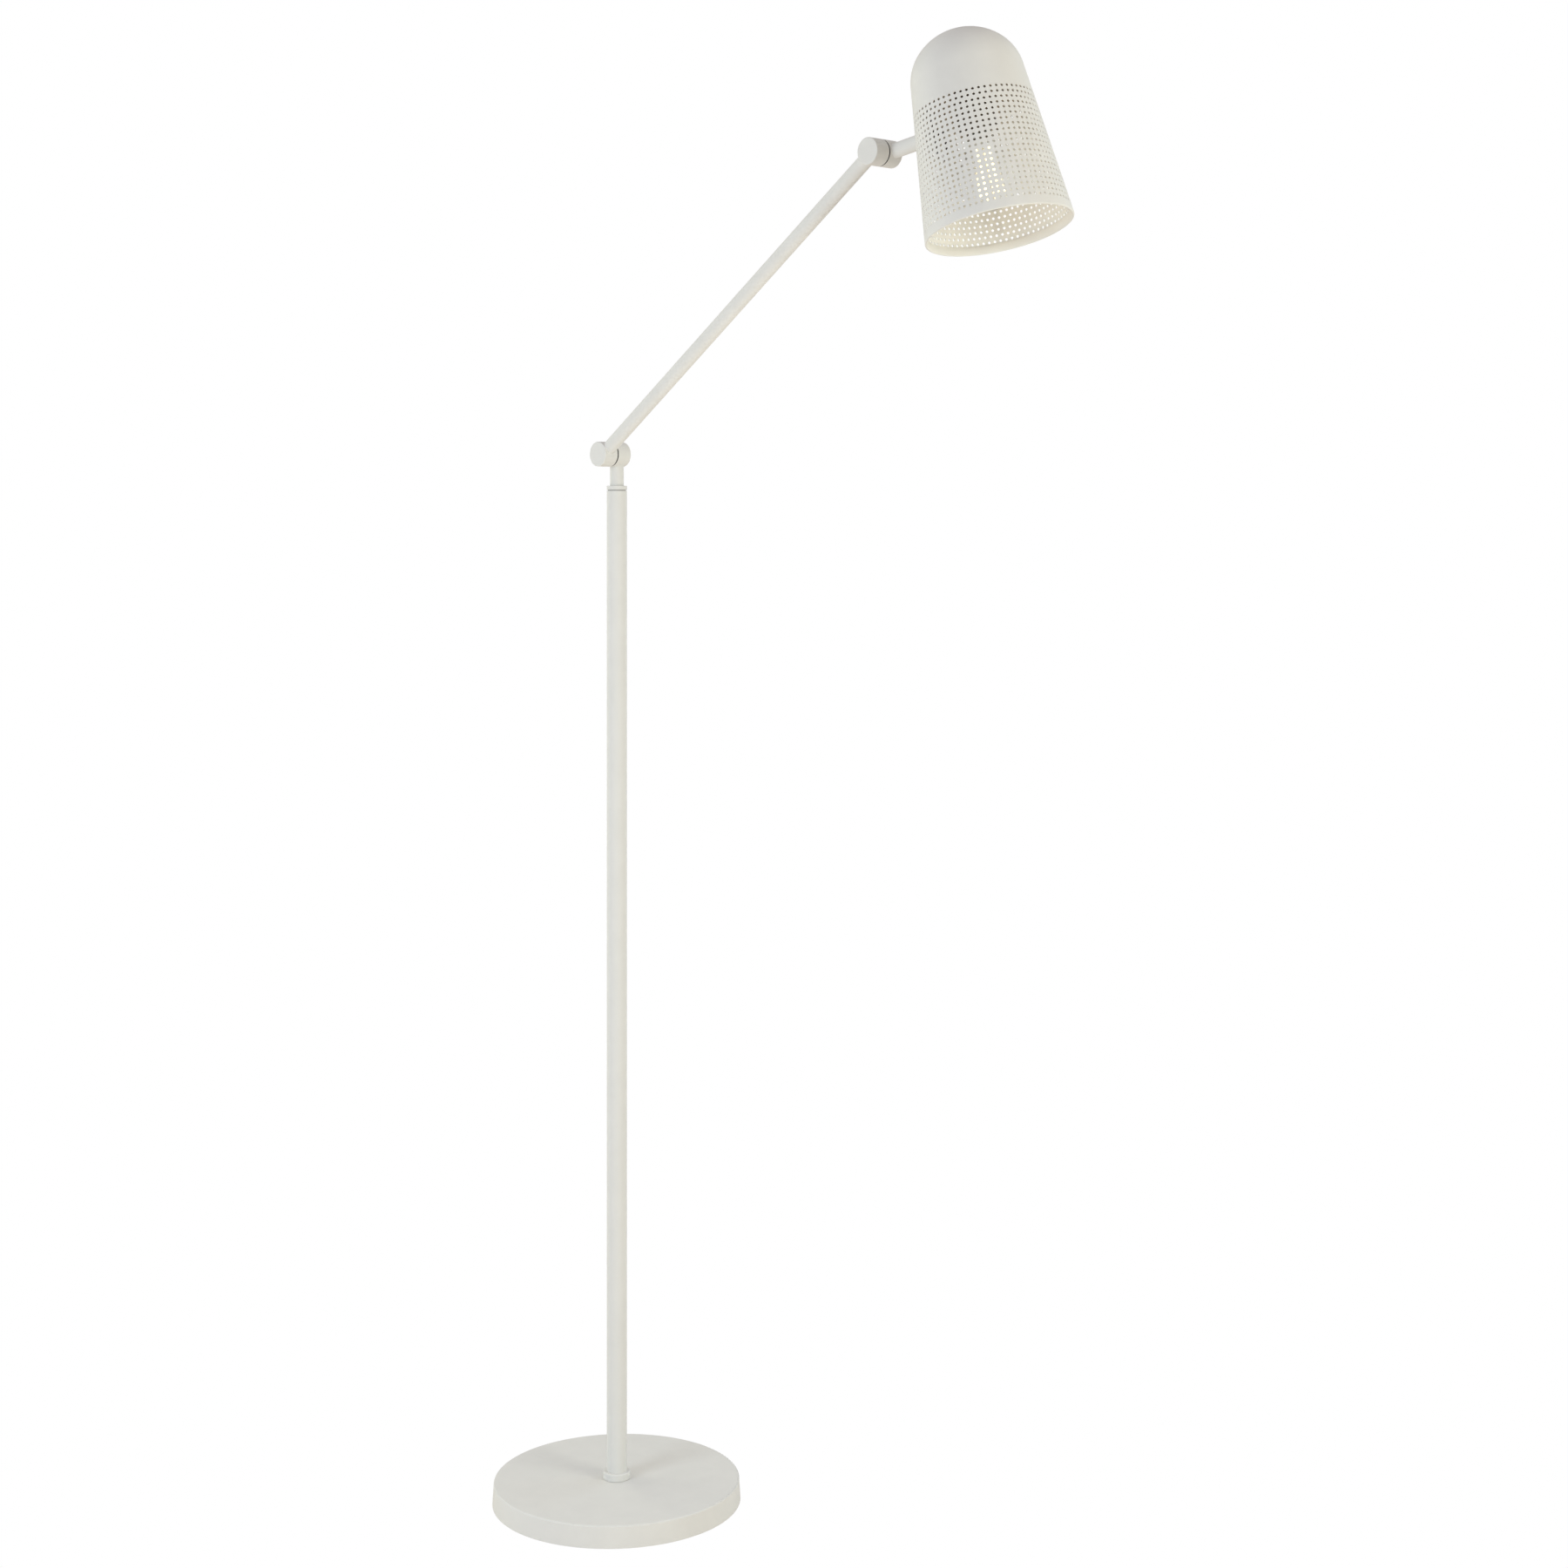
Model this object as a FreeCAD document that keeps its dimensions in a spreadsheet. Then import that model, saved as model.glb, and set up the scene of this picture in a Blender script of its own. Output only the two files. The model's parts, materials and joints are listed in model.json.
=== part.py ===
import FreeCAD, Part

import math
import os
import re

import Sketcher
from FreeCAD import Placement, Rotation, Vector

# Adjustable arm floor lamp, in millimetres. The origin is the centre of the base's underside, +Z is up
# and the arm reaches towards +X. Each sub-part is one object of the document, in one of four frames:
# the stand's, which is the document's own, and three whose X axis lies along the arm, along the rod
# that holds the shade, or across the shade's mouth.

DIMENSIONS = {
    # stand
    "base_diameter": 270.4,
    "base_top_diameter": 267.6,
    "base_height": 24.4,
    "base_edge_radius": 1.6,
    "sheet_wall": 1.5,
    "pad_thickness": 2.5,
    "plate_thickness": 1.5,
    "weight_diameter": 240,
    "cord_level": 11.5,
    "cord_diameter": 6.2,
    "pole_diameter": 22,
    "pole_wall": 1.5,
    "pole_top": 1109.2,
    "cap_height": 5.4,
    "seam_height": 1.0,
    "seam_depth": 1.2,
    "seam_chamfer": 0.4,
    "collar_diameter": 30,
    "collar_height": 8,
    # hinges
    "tube_diameter": 15,
    "elbow_height": 1143.4,
    "hub_diameter": 27,
    "hub_length": 17.9,
    "hub_gap": 0.9,
    "hub_cavity": 21,
    "hub_web": 4,
    "shaft_diameter": 10,
    "shaft_bore": 6.4,
    "running_clearance": 0.05,
    # arm
    "arm_length": 494.5,
    "arm_angle": 35.39,
    # shade and the rod that holds it
    "rod_reach": 58.7,
    "rod_level": 116.1,
    "shade_tilt": 15.18,
    "mouth_radius": 71.66,
    "cone_angle": 6.235,
    "cone_height": 155.5,
    "shade_height": 201.5,
    "shoulder_radius": 48.7,
    "shade_wall": 0.8,
    "hem_height": 6.8,
    "hem_depth": 2.4,
    # lampholder and bulb, measured up from the mouth
    "bracket_level": 150,
    "holder_radius": 19,
    "holder_bottom": 96,
    "bulb_tip": 21.5,
    "bulb_radius": 30,
    "bulb_neck": 12.1,
    "cap_radius": 13.1,
    "lead_diameter": 3.6,
}

doc = FreeCAD.newDocument("FloorLamp")
sheet = doc.addObject("Spreadsheet::Sheet", "Dims")
for row, (alias, value) in enumerate(DIMENSIONS.items(), start=1):
    sheet.set("A%d" % row, alias)
    sheet.set("B%d" % row, str(value))
    sheet.setAlias("B%d" % row, alias)
doc.recompute()

ALIASES = re.compile(r"\b(" + "|".join(DIMENSIONS) + r")\b")
NODES = []


def bound(expression):
    """The expression with each dimension read from the spreadsheet."""
    return ALIASES.sub(r"Dims.\1", str(expression))


def number(expression):
    return float(sheet.evalExpression(bound(expression)))


# ---------------------------------------------------------------------------------------------
# Frames: the origin's X and Z, and how far the frame's X axis rises above the horizontal

WRIST_X = "arm_length * cos(arm_angle)"
WRIST_Z = "(elbow_height + arm_length * sin(arm_angle))"
ROD_RISE = "(shade_tilt - cone_angle)"
ROD_WALL_X = "(mouth_radius - rod_level * tan(cone_angle))"
WRIST_ACROSS = f"(-{ROD_WALL_X} - rod_reach * cos(cone_angle))"
WRIST_UP = "(rod_level + rod_reach * sin(cone_angle))"
MOUTH_X = f"({WRIST_X} - {WRIST_ACROSS} * cos(shade_tilt) + {WRIST_UP} * sin(shade_tilt))"
MOUTH_Z = f"({WRIST_Z} - {WRIST_ACROSS} * sin(shade_tilt) - {WRIST_UP} * cos(shade_tilt))"

STAND = ("0", "0", "0")
NECK_HINGE = ("0", "elbow_height", "-90")
ARM = ("0", "elbow_height", "arm_angle")
ARM_END = (WRIST_X, WRIST_Z, "arm_angle + 180")
ROD = (WRIST_X, WRIST_Z, ROD_RISE)
SHADE = (MOUTH_X, MOUTH_Z, "shade_tilt")


def place(obj, frame):
    """Stands the object in a frame. Turning about -Y raises the frame's X axis."""
    obj.Placement = Placement(Vector(0, 0, 0), Rotation(Vector(0, -1, 0), 1))
    obj.setExpression("Placement.Base.x", bound(frame[0]))
    obj.setExpression("Placement.Base.z", bound(frame[1]))
    obj.setExpression("Placement.Rotation.Angle", bound(frame[2]))


def node(obj, label, frame):
    obj.Label = label
    place(obj, frame)
    NODES.append(obj)
    return obj


def frame_placement(frame):
    base = Vector(number(frame[0]), 0, number(frame[1]))
    return Placement(base, Rotation(Vector(0, -1, 0), number(frame[2])))


# ---------------------------------------------------------------------------------------------
# Sketches


def new_sketch(body, role, name):
    sketch = body.newObject("Sketcher::SketchObject", name)
    plane = next(item for item in body.Origin.OriginFeatures if item.Role == role)
    sketch.AttachmentSupport = (plane, "")
    sketch.MapMode = "FlatFace"
    return sketch


def fix(sketch, kind, geometry, vertex, expression):
    """Ties one coordinate of a vertex to an expression, or to the axis when it is zero."""
    if expression == "0":
        axis = -2 if kind == "DistanceX" else -1
        sketch.addConstraint(Sketcher.Constraint("PointOnObject", geometry, vertex, axis))
        return
    value = number(expression)
    index = sketch.addConstraint(Sketcher.Constraint(kind, -1, 1, geometry, vertex, value))
    sketch.setExpression("Constraints[%d]" % index, bound(expression))


def arc_through(start, end, radius, side):
    """The arc from start to end whose centre lies to the left (side 1) or right (side -1)."""
    chord = end.sub(start)
    half = chord.Length / 2
    across = Vector(-chord.y, chord.x, 0).normalize()
    to_centre = math.sqrt(radius ** 2 - half ** 2)
    centre = start + chord * 0.5 + across * (side * to_centre)
    middle = centre - across * (side * radius)
    return Part.Arc(start, middle, end)


def outline(sketch, points, arcs=None):
    """A closed outline. arcs maps the number of a side to its radius and its centre's side."""
    arcs = arcs or {}
    corners = [Vector(number(x), number(y), 0) for x, y in points]
    count = len(points)
    first = sketch.GeometryCount
    starts = []
    ends = []
    for side in range(count):
        start = corners[side]
        end = corners[(side + 1) % count]
        if side not in arcs:
            sketch.addGeometry(Part.LineSegment(start, end), False)
            starts.append(1)
            ends.append(2)
            continue
        radius, hand = arcs[side]
        sketch.addGeometry(arc_through(start, end, number(radius), hand), False)
        begins = sketch.getPoint(first + side, 1).distanceToPoint(start) < 1e-6
        starts.append(1 if begins else 2)
        ends.append(2 if begins else 1)
        index = sketch.addConstraint(Sketcher.Constraint("Radius", first + side, number(radius)))
        sketch.setExpression("Constraints[%d]" % index, bound(radius))
    for side in range(count):
        after = (side + 1) % count
        join = Sketcher.Constraint("Coincident", first + side, ends[side], first + after, starts[after])
        sketch.addConstraint(join)
    for side, (x, y) in enumerate(points):
        fix(sketch, "DistanceX", first + side, starts[side], x)
        fix(sketch, "DistanceY", first + side, starts[side], y)


def circle(sketch, x, y, radius):
    centre = Vector(number(x), number(y), 0)
    geometry = sketch.addGeometry(Part.Circle(centre, Vector(0, 0, 1), number(radius)))
    fix(sketch, "DistanceX", geometry, 3, x)
    fix(sketch, "DistanceY", geometry, 3, y)
    index = sketch.addConstraint(Sketcher.Constraint("Radius", geometry, number(radius)))
    sketch.setExpression("Constraints[%d]" % index, bound(radius))


# ---------------------------------------------------------------------------------------------
# Features


def new_body(label, frame):
    return node(doc.addObject("PartDesign::Body", label), label, frame)


def turned(label, frame, points, arcs=None, plane="XZ_Plane"):
    """A turned piece. Its outline's first coordinate is the radius, and it turns about Z, or
    about Y where the outline is drawn on the XY plane."""
    body = new_body(label, frame)
    sketch = new_sketch(body, plane, label + "_outline")
    outline(sketch, points, arcs)
    feature = body.newObject("PartDesign::Revolution", label + "_turned")
    feature.Profile = sketch
    feature.ReferenceAxis = (sketch, ["V_Axis"])
    feature.Angle = 360
    return body


def turned_about_x(label, frame, points, arcs=None):
    """A turned piece about X. Its outline's first coordinate is the place along X."""
    body = new_body(label, frame)
    sketch = new_sketch(body, "XZ_Plane", label + "_outline")
    outline(sketch, points, arcs)
    feature = body.newObject("PartDesign::Revolution", label + "_turned")
    feature.Profile = sketch
    feature.ReferenceAxis = (sketch, ["H_Axis"])
    feature.Angle = 360
    return body


def drill(body, plane, holes, name, length=None, backwards=False):
    """Cuts round holes, each given as its two coordinates and radius, from an origin plane."""
    doc.recompute()
    before = body.Shape.Volume
    sketch = new_sketch(body, plane, name + "_sketch")
    for x, y, radius in holes:
        circle(sketch, x, y, radius)
    cut = body.newObject("PartDesign::Pocket", name)
    cut.Profile = sketch
    cut.Reversed = backwards
    if length is None:
        cut.Type = "ThroughAll"
    else:
        cut.setExpression("Length", bound(length))
    doc.recompute()
    assert body.Shape.Volume < before - 1, name
    return cut


def mill(body, plane, points, name, length, backwards=False):
    """Cuts an outline from an origin plane to a depth, or to both sides of the plane when
    backwards is None."""
    doc.recompute()
    before = body.Shape.Volume
    sketch = new_sketch(body, plane, name + "_sketch")
    outline(sketch, points)
    cut = body.newObject("PartDesign::Pocket", name)
    cut.Profile = sketch
    cut.setExpression("Length", bound(length))
    if backwards is None:
        cut.SideType = "Symmetric"
    else:
        cut.Reversed = backwards
    doc.recompute()
    assert body.Shape.Volume < before - 1, name
    return cut


def ring(label, frame, inner, outer, low, high, plane="XZ_Plane"):
    points = [(inner, low), (outer, low), (outer, high), (inner, high)]
    return turned(label, frame, points, plane=plane)


def ring_about_x(label, frame, inner, outer, low, high):
    points = [(low, inner), (high, inner), (high, outer), (low, outer)]
    return turned_about_x(label, frame, points)


def hex_nut(label, frame, plane, flats, bore, low, high):
    """A hexagonal nut, drawn on an origin plane, from low to high along that plane's normal."""
    body = new_body(label, frame)
    sketch = new_sketch(body, plane, label + "_hexagon")
    corner = f"({flats} / sqrt(3))"
    points = [(f"{corner} * cos({60 * k})", f"{corner} * sin({60 * k})") for k in range(6)]
    points[0] = (corner, "0")
    points[3] = (f"-{corner}", "0")
    outline(sketch, points)
    circle(sketch, "0", "0", bore)
    sketch.setExpression("AttachmentOffset.Base.z", bound(low))
    pad = body.newObject("PartDesign::Pad", label + "_pad")
    pad.Profile = sketch
    pad.setExpression("Length", bound(f"{high} - ({low})"))
    return body


def loose_solids(label, frame, solids):
    """Several equal pieces in one node, or one piece that no feature suits."""
    obj = doc.addObject("Part::Feature", label)
    obj.Shape = solids[0] if len(solids) == 1 else Part.makeCompound(solids)
    obj.Label = label
    obj.Placement = frame_placement(frame)
    NODES.append(obj)
    return obj


def lead(label, frame, route, bend):
    """A round lead that fills the given corner points with straight runs and arcs."""
    points = [Vector(number(x), number(y), number(z)) for x, y, z in route]
    edges = []
    last = points[0]
    for before, corner, after in zip(points, points[1:], points[2:]):
        into = (corner - before).normalize()
        out = (after - corner).normalize()
        half_turn = into.getAngle(out) / 2
        setback = bend * math.tan(half_turn)
        start = corner - into * setback
        end = corner + out * setback
        bisector = (out - into).normalize()
        middle = corner + bisector * (bend / math.cos(half_turn) - bend)
        edges.append(Part.LineSegment(last, start).toShape())
        edges.append(Part.Arc(start, middle, end).toShape())
        last = end
    edges.append(Part.LineSegment(last, points[-1]).toShape())
    path = Part.Wire(edges)
    direction = (points[1] - points[0]).normalize()
    section = Part.Wire(Part.Circle(points[0], direction, number("lead_diameter / 2")).toShape())
    tube = path.makePipeShell([section], True, False)
    expected = math.pi * number("lead_diameter / 2") ** 2 * path.Length
    assert abs(tube.Volume - expected) < 0.01 * expected, label
    return loose_solids(label, frame, [tube])


# ---------------------------------------------------------------------------------------------
# Base

COVER_R = "base_diameter / 2"
COVER_TOP_R = "base_top_diameter / 2"
COVER_FOOT = "1"
COVER_BEND = "1"
WEIGHT_R = "weight_diameter / 2"
WEIGHT_LOW = "(pad_thickness + plate_thickness)"
WEIGHT_HIGH = "(base_height - sheet_wall)"
NIPPLE_R = "5"
NIPPLE_HOLE = "5.3"
WASHER_SEAT = f"({WEIGHT_LOW} + 13)"
CORD_R = "cord_diameter / 2"
GLAND_R = "4.5"
CLAMP_X = f"({WEIGHT_R} - 12)"
CLAMP_LOW = f"({WEIGHT_LOW} + 1)"
CLAMP_HIGH = f"({WEIGHT_LOW} + 4)"
CLAMP_HALF_X = "4.5"
CLAMP_HALF_Y = "14.5"
CLAMP_ROOM = "0.5"
CLAMP_SCREW_Y = "10.5"
CLAMP_SCREW_R = "1.5"
CLAMP_SCREW_DEPTH = "8"
CLAMP_HEAD_R = "2.8"
CLAMP_HEAD = "0.9"
PLATE_SCREW_RING = "95"
PLATE_SCREW_ANGLES = (60, 120, 240, 300)
PLATE_SCREW_R = "1.9"
PLATE_SCREW_DEPTH = "9"
PLATE_SCREW_LENGTH = "9"
PLATE_HEAD_R = "3.6"
PLATE_HEAD = "1.2"
CHANNEL_HALF = "7"
CHANNEL_TOP = f"({WEIGHT_LOW} + 13)"
WEIGHT_EDGE = "2"


def plate_screw_holes(radius):
    ring_r = PLATE_SCREW_RING
    return [(f"{ring_r} * cos({a})", f"{ring_r} * sin({a})", radius) for a in PLATE_SCREW_ANGLES]


def base_cover():
    """Spun steel cover: flat top, rounded edge and a side that widens a little to the floor."""
    inner_top = f"{COVER_TOP_R} - sheet_wall"
    points = [
        (NIPPLE_HOLE, WEIGHT_HIGH),
        (f"{inner_top} - {COVER_BEND}", WEIGHT_HIGH),
        (inner_top, f"{WEIGHT_HIGH} - {COVER_BEND}"),
        (f"{COVER_R} - sheet_wall", COVER_FOOT),
        (COVER_R, COVER_FOOT),
        (COVER_TOP_R, "base_height - base_edge_radius"),
        (f"{COVER_TOP_R} - base_edge_radius", "base_height"),
        (NIPPLE_HOLE, "base_height"),
    ]
    arcs = {1: (COVER_BEND, -1), 5: ("base_edge_radius", 1)}
    body = turned("base_cover", STAND, points, arcs)
    drill(body, "YZ_Plane", [("0", "cord_level", GLAND_R)], "gland_hole")


def clamp_corners(room):
    """The clamp's rectangle in plan, larger all round by room."""
    west = f"-{CLAMP_X} - {CLAMP_HALF_X} - {room}"
    east = f"-{CLAMP_X} + {CLAMP_HALF_X} + {room}"
    south = f"-{CLAMP_HALF_Y} - {room}"
    north = f"{CLAMP_HALF_Y} + {room}"
    return [(west, south), (east, south), (east, north), (west, north)]


def base_weight():
    """Cast iron ring with a counterbore for the nipple's nut and a channel for the cord."""
    seat_r = "17"
    points = [
        (seat_r, WEIGHT_LOW),
        (f"{WEIGHT_R} - {WEIGHT_EDGE}", WEIGHT_LOW),
        (WEIGHT_R, f"{WEIGHT_LOW} + {WEIGHT_EDGE}"),
        (WEIGHT_R, f"{WEIGHT_HIGH} - {WEIGHT_EDGE}"),
        (f"{WEIGHT_R} - {WEIGHT_EDGE}", WEIGHT_HIGH),
        (NIPPLE_HOLE, WEIGHT_HIGH),
        (NIPPLE_HOLE, WASHER_SEAT),
        (seat_r, WASHER_SEAT),
    ]
    arcs = {1: (WEIGHT_EDGE, 1), 3: (WEIGHT_EDGE, 1)}
    body = turned("base_weight", STAND, points, arcs)
    channel = [
        ("0", f"-{CHANNEL_HALF}"),
        ("0", CHANNEL_HALF),
        (f"-{WEIGHT_R} - 5", CHANNEL_HALF),
        (f"-{WEIGHT_R} - 5", f"-{CHANNEL_HALF}"),
    ]
    mill(body, "XY_Plane", channel, "cord_channel", CHANNEL_TOP, backwards=True)
    recess = clamp_corners(CLAMP_ROOM)
    mill(body, "XY_Plane", recess, "clamp_recess", CLAMP_HIGH, backwards=True)
    plate_holes = plate_screw_holes(PLATE_SCREW_R)
    plate_depth = f"{WEIGHT_LOW} + {PLATE_SCREW_DEPTH}"
    drill(body, "XY_Plane", plate_holes, "plate_screw_holes", plate_depth, backwards=True)
    clamp_holes = [(f"-{CLAMP_X}", side + CLAMP_SCREW_Y, CLAMP_SCREW_R) for side in ("", "-")]
    clamp_depth = f"{CLAMP_HIGH} + {CLAMP_SCREW_DEPTH}"
    drill(body, "XY_Plane", clamp_holes, "clamp_screw_holes", clamp_depth, backwards=True)


def base_plate():
    """Steel sheet that closes the base from below, with clearance holes for its screws."""
    body = ring("base_plate", STAND, "0", f"{COVER_R} - sheet_wall - 1", "pad_thickness", WEIGHT_LOW)
    holes = plate_screw_holes(f"{PLATE_SCREW_R} + 0.2")
    drill(body, "XY_Plane", holes, "screw_holes_in_plate", backwards=True)


def screw(at, head_r, head, shank_r, length):
    """A flat-headed screw that points up. Its head hangs below the given place."""
    cap = Part.makeCylinder(head_r, head, at - Vector(0, 0, head))
    shank = Part.makeCylinder(shank_r, length, at)
    return cap.fuse(shank).removeSplitter().Solids[0]


def base_plate_screws():
    """Thin flat-headed screws: the heads lie in the foam pad, and the shanks in the weight."""
    sizes = [number(size) for size in (PLATE_HEAD_R, PLATE_HEAD, PLATE_SCREW_R, PLATE_SCREW_LENGTH)]
    ring_r = number(PLATE_SCREW_RING)
    screws = []
    for angle in PLATE_SCREW_ANGLES:
        turn = math.radians(angle)
        at = Vector(ring_r * math.cos(turn), ring_r * math.sin(turn), number("pad_thickness"))
        screws.append(screw(at, *sizes))
    loose_solids("base_plate_screws", STAND, screws)


def floor_pad():
    """Foam disc stuck to the plate, with hollows for the screw heads."""
    body = ring("floor_pad", STAND, "0", f"{COVER_R} - sheet_wall - 2", "0", "pad_thickness")
    hollows = plate_screw_holes(f"{PLATE_HEAD_R} + 0.4")
    cut = drill(body, "XY_Plane", hollows, "screw_hollows", "pad_thickness", backwards=True)
    depth = f"pad_thickness - {PLATE_HEAD} - 0.1"
    cut.Profile[0].setExpression("AttachmentOffset.Base.z", bound(depth))


def cord_gland():
    """Gland in the cover's rear wall: a flange outside, a body through the wall and a snap rim."""
    seat = f"(-{COVER_R} + 0.1)"
    bore = f"({CORD_R} + 0.2)"
    neck_r = f"({GLAND_R} - 0.2)"
    snap_r = f"({GLAND_R} + 0.7)"
    flange_r = f"({GLAND_R} + 2)"
    points = [
        (f"{seat} - 2", bore),
        (f"{seat} + 10", bore),
        (f"{seat} + 10", neck_r),
        (f"{seat} + 4", neck_r),
        (f"{seat} + 4", snap_r),
        (f"{seat} + 3", snap_r),
        (f"{seat} + 3", neck_r),
        (seat, neck_r),
        (seat, flange_r),
        (f"{seat} - 2", flange_r),
    ]
    turned_about_x("cord_gland", ("0", "cord_level", "0"), points)


def cord_clamp():
    """Bridge across the channel that would hold a cord, screwed up into the weight."""
    body = new_body("cord_clamp", STAND)
    sketch = new_sketch(body, "XY_Plane", "clamp_outline")
    outline(sketch, clamp_corners("0"))
    for side in ("", "-"):
        circle(sketch, f"-{CLAMP_X}", side + CLAMP_SCREW_Y, f"{CLAMP_SCREW_R} + 0.1")
    sketch.setExpression("AttachmentOffset.Base.z", bound(CLAMP_LOW))
    pad = body.newObject("PartDesign::Pad", "clamp_pad")
    pad.Profile = sketch
    pad.setExpression("Length", bound(f"{CLAMP_HIGH} - {CLAMP_LOW}"))
    screws = []
    for side in (-1, 1):
        place_x = -number(CLAMP_X)
        place_y = side * number(CLAMP_SCREW_Y)
        at = Vector(place_x, place_y, number(CLAMP_LOW))
        length = number(f"{CLAMP_HIGH} - {CLAMP_LOW} + {CLAMP_SCREW_DEPTH} - 1")
        screws.append(screw(at, number(CLAMP_HEAD_R), number(CLAMP_HEAD), number(CLAMP_SCREW_R), length))
    loose_solids("cord_clamp_screws", STAND, screws)


# ---------------------------------------------------------------------------------------------
# Pole

POLE_R = "pole_diameter / 2"
POLE_BORE = "(pole_diameter / 2 - pole_wall)"
TUBE_TOP = "(pole_top - cap_height)"
BUSH_R = "(tube_diameter / 2 + 1)"
LIP_LOW = "(pole_top - 49)"
LIP_HIGH = "(pole_top - 43)"
NECK_FOOT = f"({LIP_HIGH} + 1.3)"
LIP_BORE = "4.2"
COLLAR_EDGE = "1.5"
COLLAR_FOOT = "0.7"
CAP_EDGE = "0.6"


def pole():
    """Tube with a collar at its foot. A plug in the tube takes the nipple that the nut pulls down."""
    tube = [
        (POLE_BORE, "base_height"),
        (POLE_R, "base_height"),
        (POLE_R, f"{TUBE_TOP} - seam_chamfer"),
        (f"{POLE_R} - seam_chamfer", TUBE_TOP),
        (POLE_BORE, TUBE_TOP),
    ]
    turned("pole_tube", STAND, tube)
    collar_r = "collar_diameter / 2"
    collar_top = "base_height + collar_height"
    points = [
        (f"{POLE_R} + running_clearance", "base_height"),
        (f"{collar_r} - {COLLAR_FOOT}", "base_height"),
        (collar_r, f"base_height + {COLLAR_FOOT}"),
        (collar_r, f"{collar_top} - {COLLAR_EDGE}"),
        (f"{collar_r} - {COLLAR_EDGE}", collar_top),
        (f"{POLE_R} + running_clearance", collar_top),
    ]
    turned("pole_collar", STAND, points, {3: (COLLAR_EDGE, 1)})
    ring("pole_foot_plug", STAND, NIPPLE_R, POLE_BORE, "base_height", "base_height + 25")
    washer_low = f"{WASHER_SEAT} - 1.5"
    nut_low = f"{WASHER_SEAT} - 6.5"
    ring("pole_nipple", STAND, "3.5", NIPPLE_R, f"{WASHER_SEAT} - 7", "base_height + 20")
    ring("nipple_washer", STAND, NIPPLE_HOLE, "12", washer_low, WASHER_SEAT)
    hex_nut("nipple_nut", STAND, "XY_Plane", "17", NIPPLE_R, nut_low, washer_low)


def pole_cap():
    """Ring on the pole's top, above a narrow groove. Its spigot is in the pole, and the neck stands
    on its inner lip."""
    points = [
        (LIP_BORE, LIP_LOW),
        (POLE_BORE, LIP_LOW),
        (POLE_BORE, TUBE_TOP),
        (f"{POLE_R} - seam_depth", TUBE_TOP),
        (f"{POLE_R} - seam_depth", f"{TUBE_TOP} + seam_height"),
        (POLE_R, f"{TUBE_TOP} + seam_height"),
        (POLE_R, f"pole_top - {CAP_EDGE}"),
        (f"{POLE_R} - {CAP_EDGE}", "pole_top"),
        (BUSH_R, "pole_top"),
        (BUSH_R, LIP_HIGH),
        (LIP_BORE, LIP_HIGH),
    ]
    turned("pole_cap", STAND, points, {6: (CAP_EDGE, 1)})
    inner = "tube_diameter / 2 + running_clearance"
    ring("swivel_bush", STAND, inner, BUSH_R, f"{LIP_HIGH} + 1.2", "pole_top - 0.6")
    ring("thrust_washer", STAND, "4.4", f"{BUSH_R} - 0.2", LIP_HIGH, f"{LIP_HIGH} + 1")


def lead_in_pole():
    """From the clamp, along the channel under the nut, and up the middle of the nipple and pole."""
    level = f"{WEIGHT_LOW} + 2.2"
    route = [
        (f"-{CLAMP_X} + 7", "0", level),
        ("0", "0", level),
        ("0", "0", f"{LIP_LOW} - 12"),
    ]
    lead("lead_pole", STAND, route, 8)


# ---------------------------------------------------------------------------------------------
# Neck

NECK_BORE = "(tube_diameter / 2 - 1.5)"
TUBE_INSET = "(hub_diameter / 2 - 2.5)"
LEAD_SIDE = "3.9"
LEAD_HOLE = "2.6"
THREAD_R = "4"
BOLT_LOW = f"({LIP_LOW} - 6.5)"


def neck():
    """Tube that turns in the bush. A bolt from below holds its plug against the cap's inner lip."""
    ring("neck_tube", STAND, NECK_BORE, "tube_diameter / 2", NECK_FOOT, f"elbow_height - {TUBE_INSET}")
    ring("neck_plug", STAND, THREAD_R, NECK_BORE, NECK_FOOT, f"{NECK_FOOT} + 14")
    head_r = "6.5"
    points = [
        (LEAD_HOLE, BOLT_LOW),
        (head_r, BOLT_LOW),
        (head_r, f"{LIP_LOW} - 1.5"),
        (THREAD_R, f"{LIP_LOW} - 1.5"),
        (THREAD_R, f"{NECK_FOOT} + 10"),
        (LEAD_HOLE, f"{NECK_FOOT} + 10"),
    ]
    turned("neck_bolt", STAND, points)
    ring("neck_wave_washer", STAND, "4.3", "8", f"{LIP_LOW} - 1.4", f"{LIP_LOW} - 0.3")
    route = [
        ("0", "0", BOLT_LOW),
        ("0", "0", "pole_top - 8"),
        ("0", LEAD_SIDE, "pole_top + 4"),
        ("0", LEAD_SIDE, "elbow_height + 1.8"),
    ]
    lead("lead_neck", STAND, route, 14)


# ---------------------------------------------------------------------------------------------
# Hinges. Each has a rear hub, whose middle lies on the plane of the pole and shade, and a front hub
# towards -Y. A hollow pivot is pressed into the front hub, passes through the rear hub's web and is
# held by a nut on a sprung washer. A hub's X axis points to the tube that enters it.

HUB_R = "hub_diameter / 2"
CAVITY_R = "hub_cavity / 2"
SHAFT_R = "shaft_diameter / 2"
REAR_FRONT = "(-hub_length / 2)"
REAR_BACK = "(hub_length / 2)"
FRONT_BACK = "(-hub_length / 2 - hub_gap)"
FRONT_FRONT = "(-hub_length * 3 / 2 - hub_gap)"
FRONT_MIDDLE = "(-hub_length - hub_gap)"
WEB_INSIDE = "(-hub_length / 2 + hub_web)"
SHAFT_END = f"({WEB_INSIDE} + 6.6)"
HUB_EDGE = "1"
FRICTION_R = "9.5"


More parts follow.
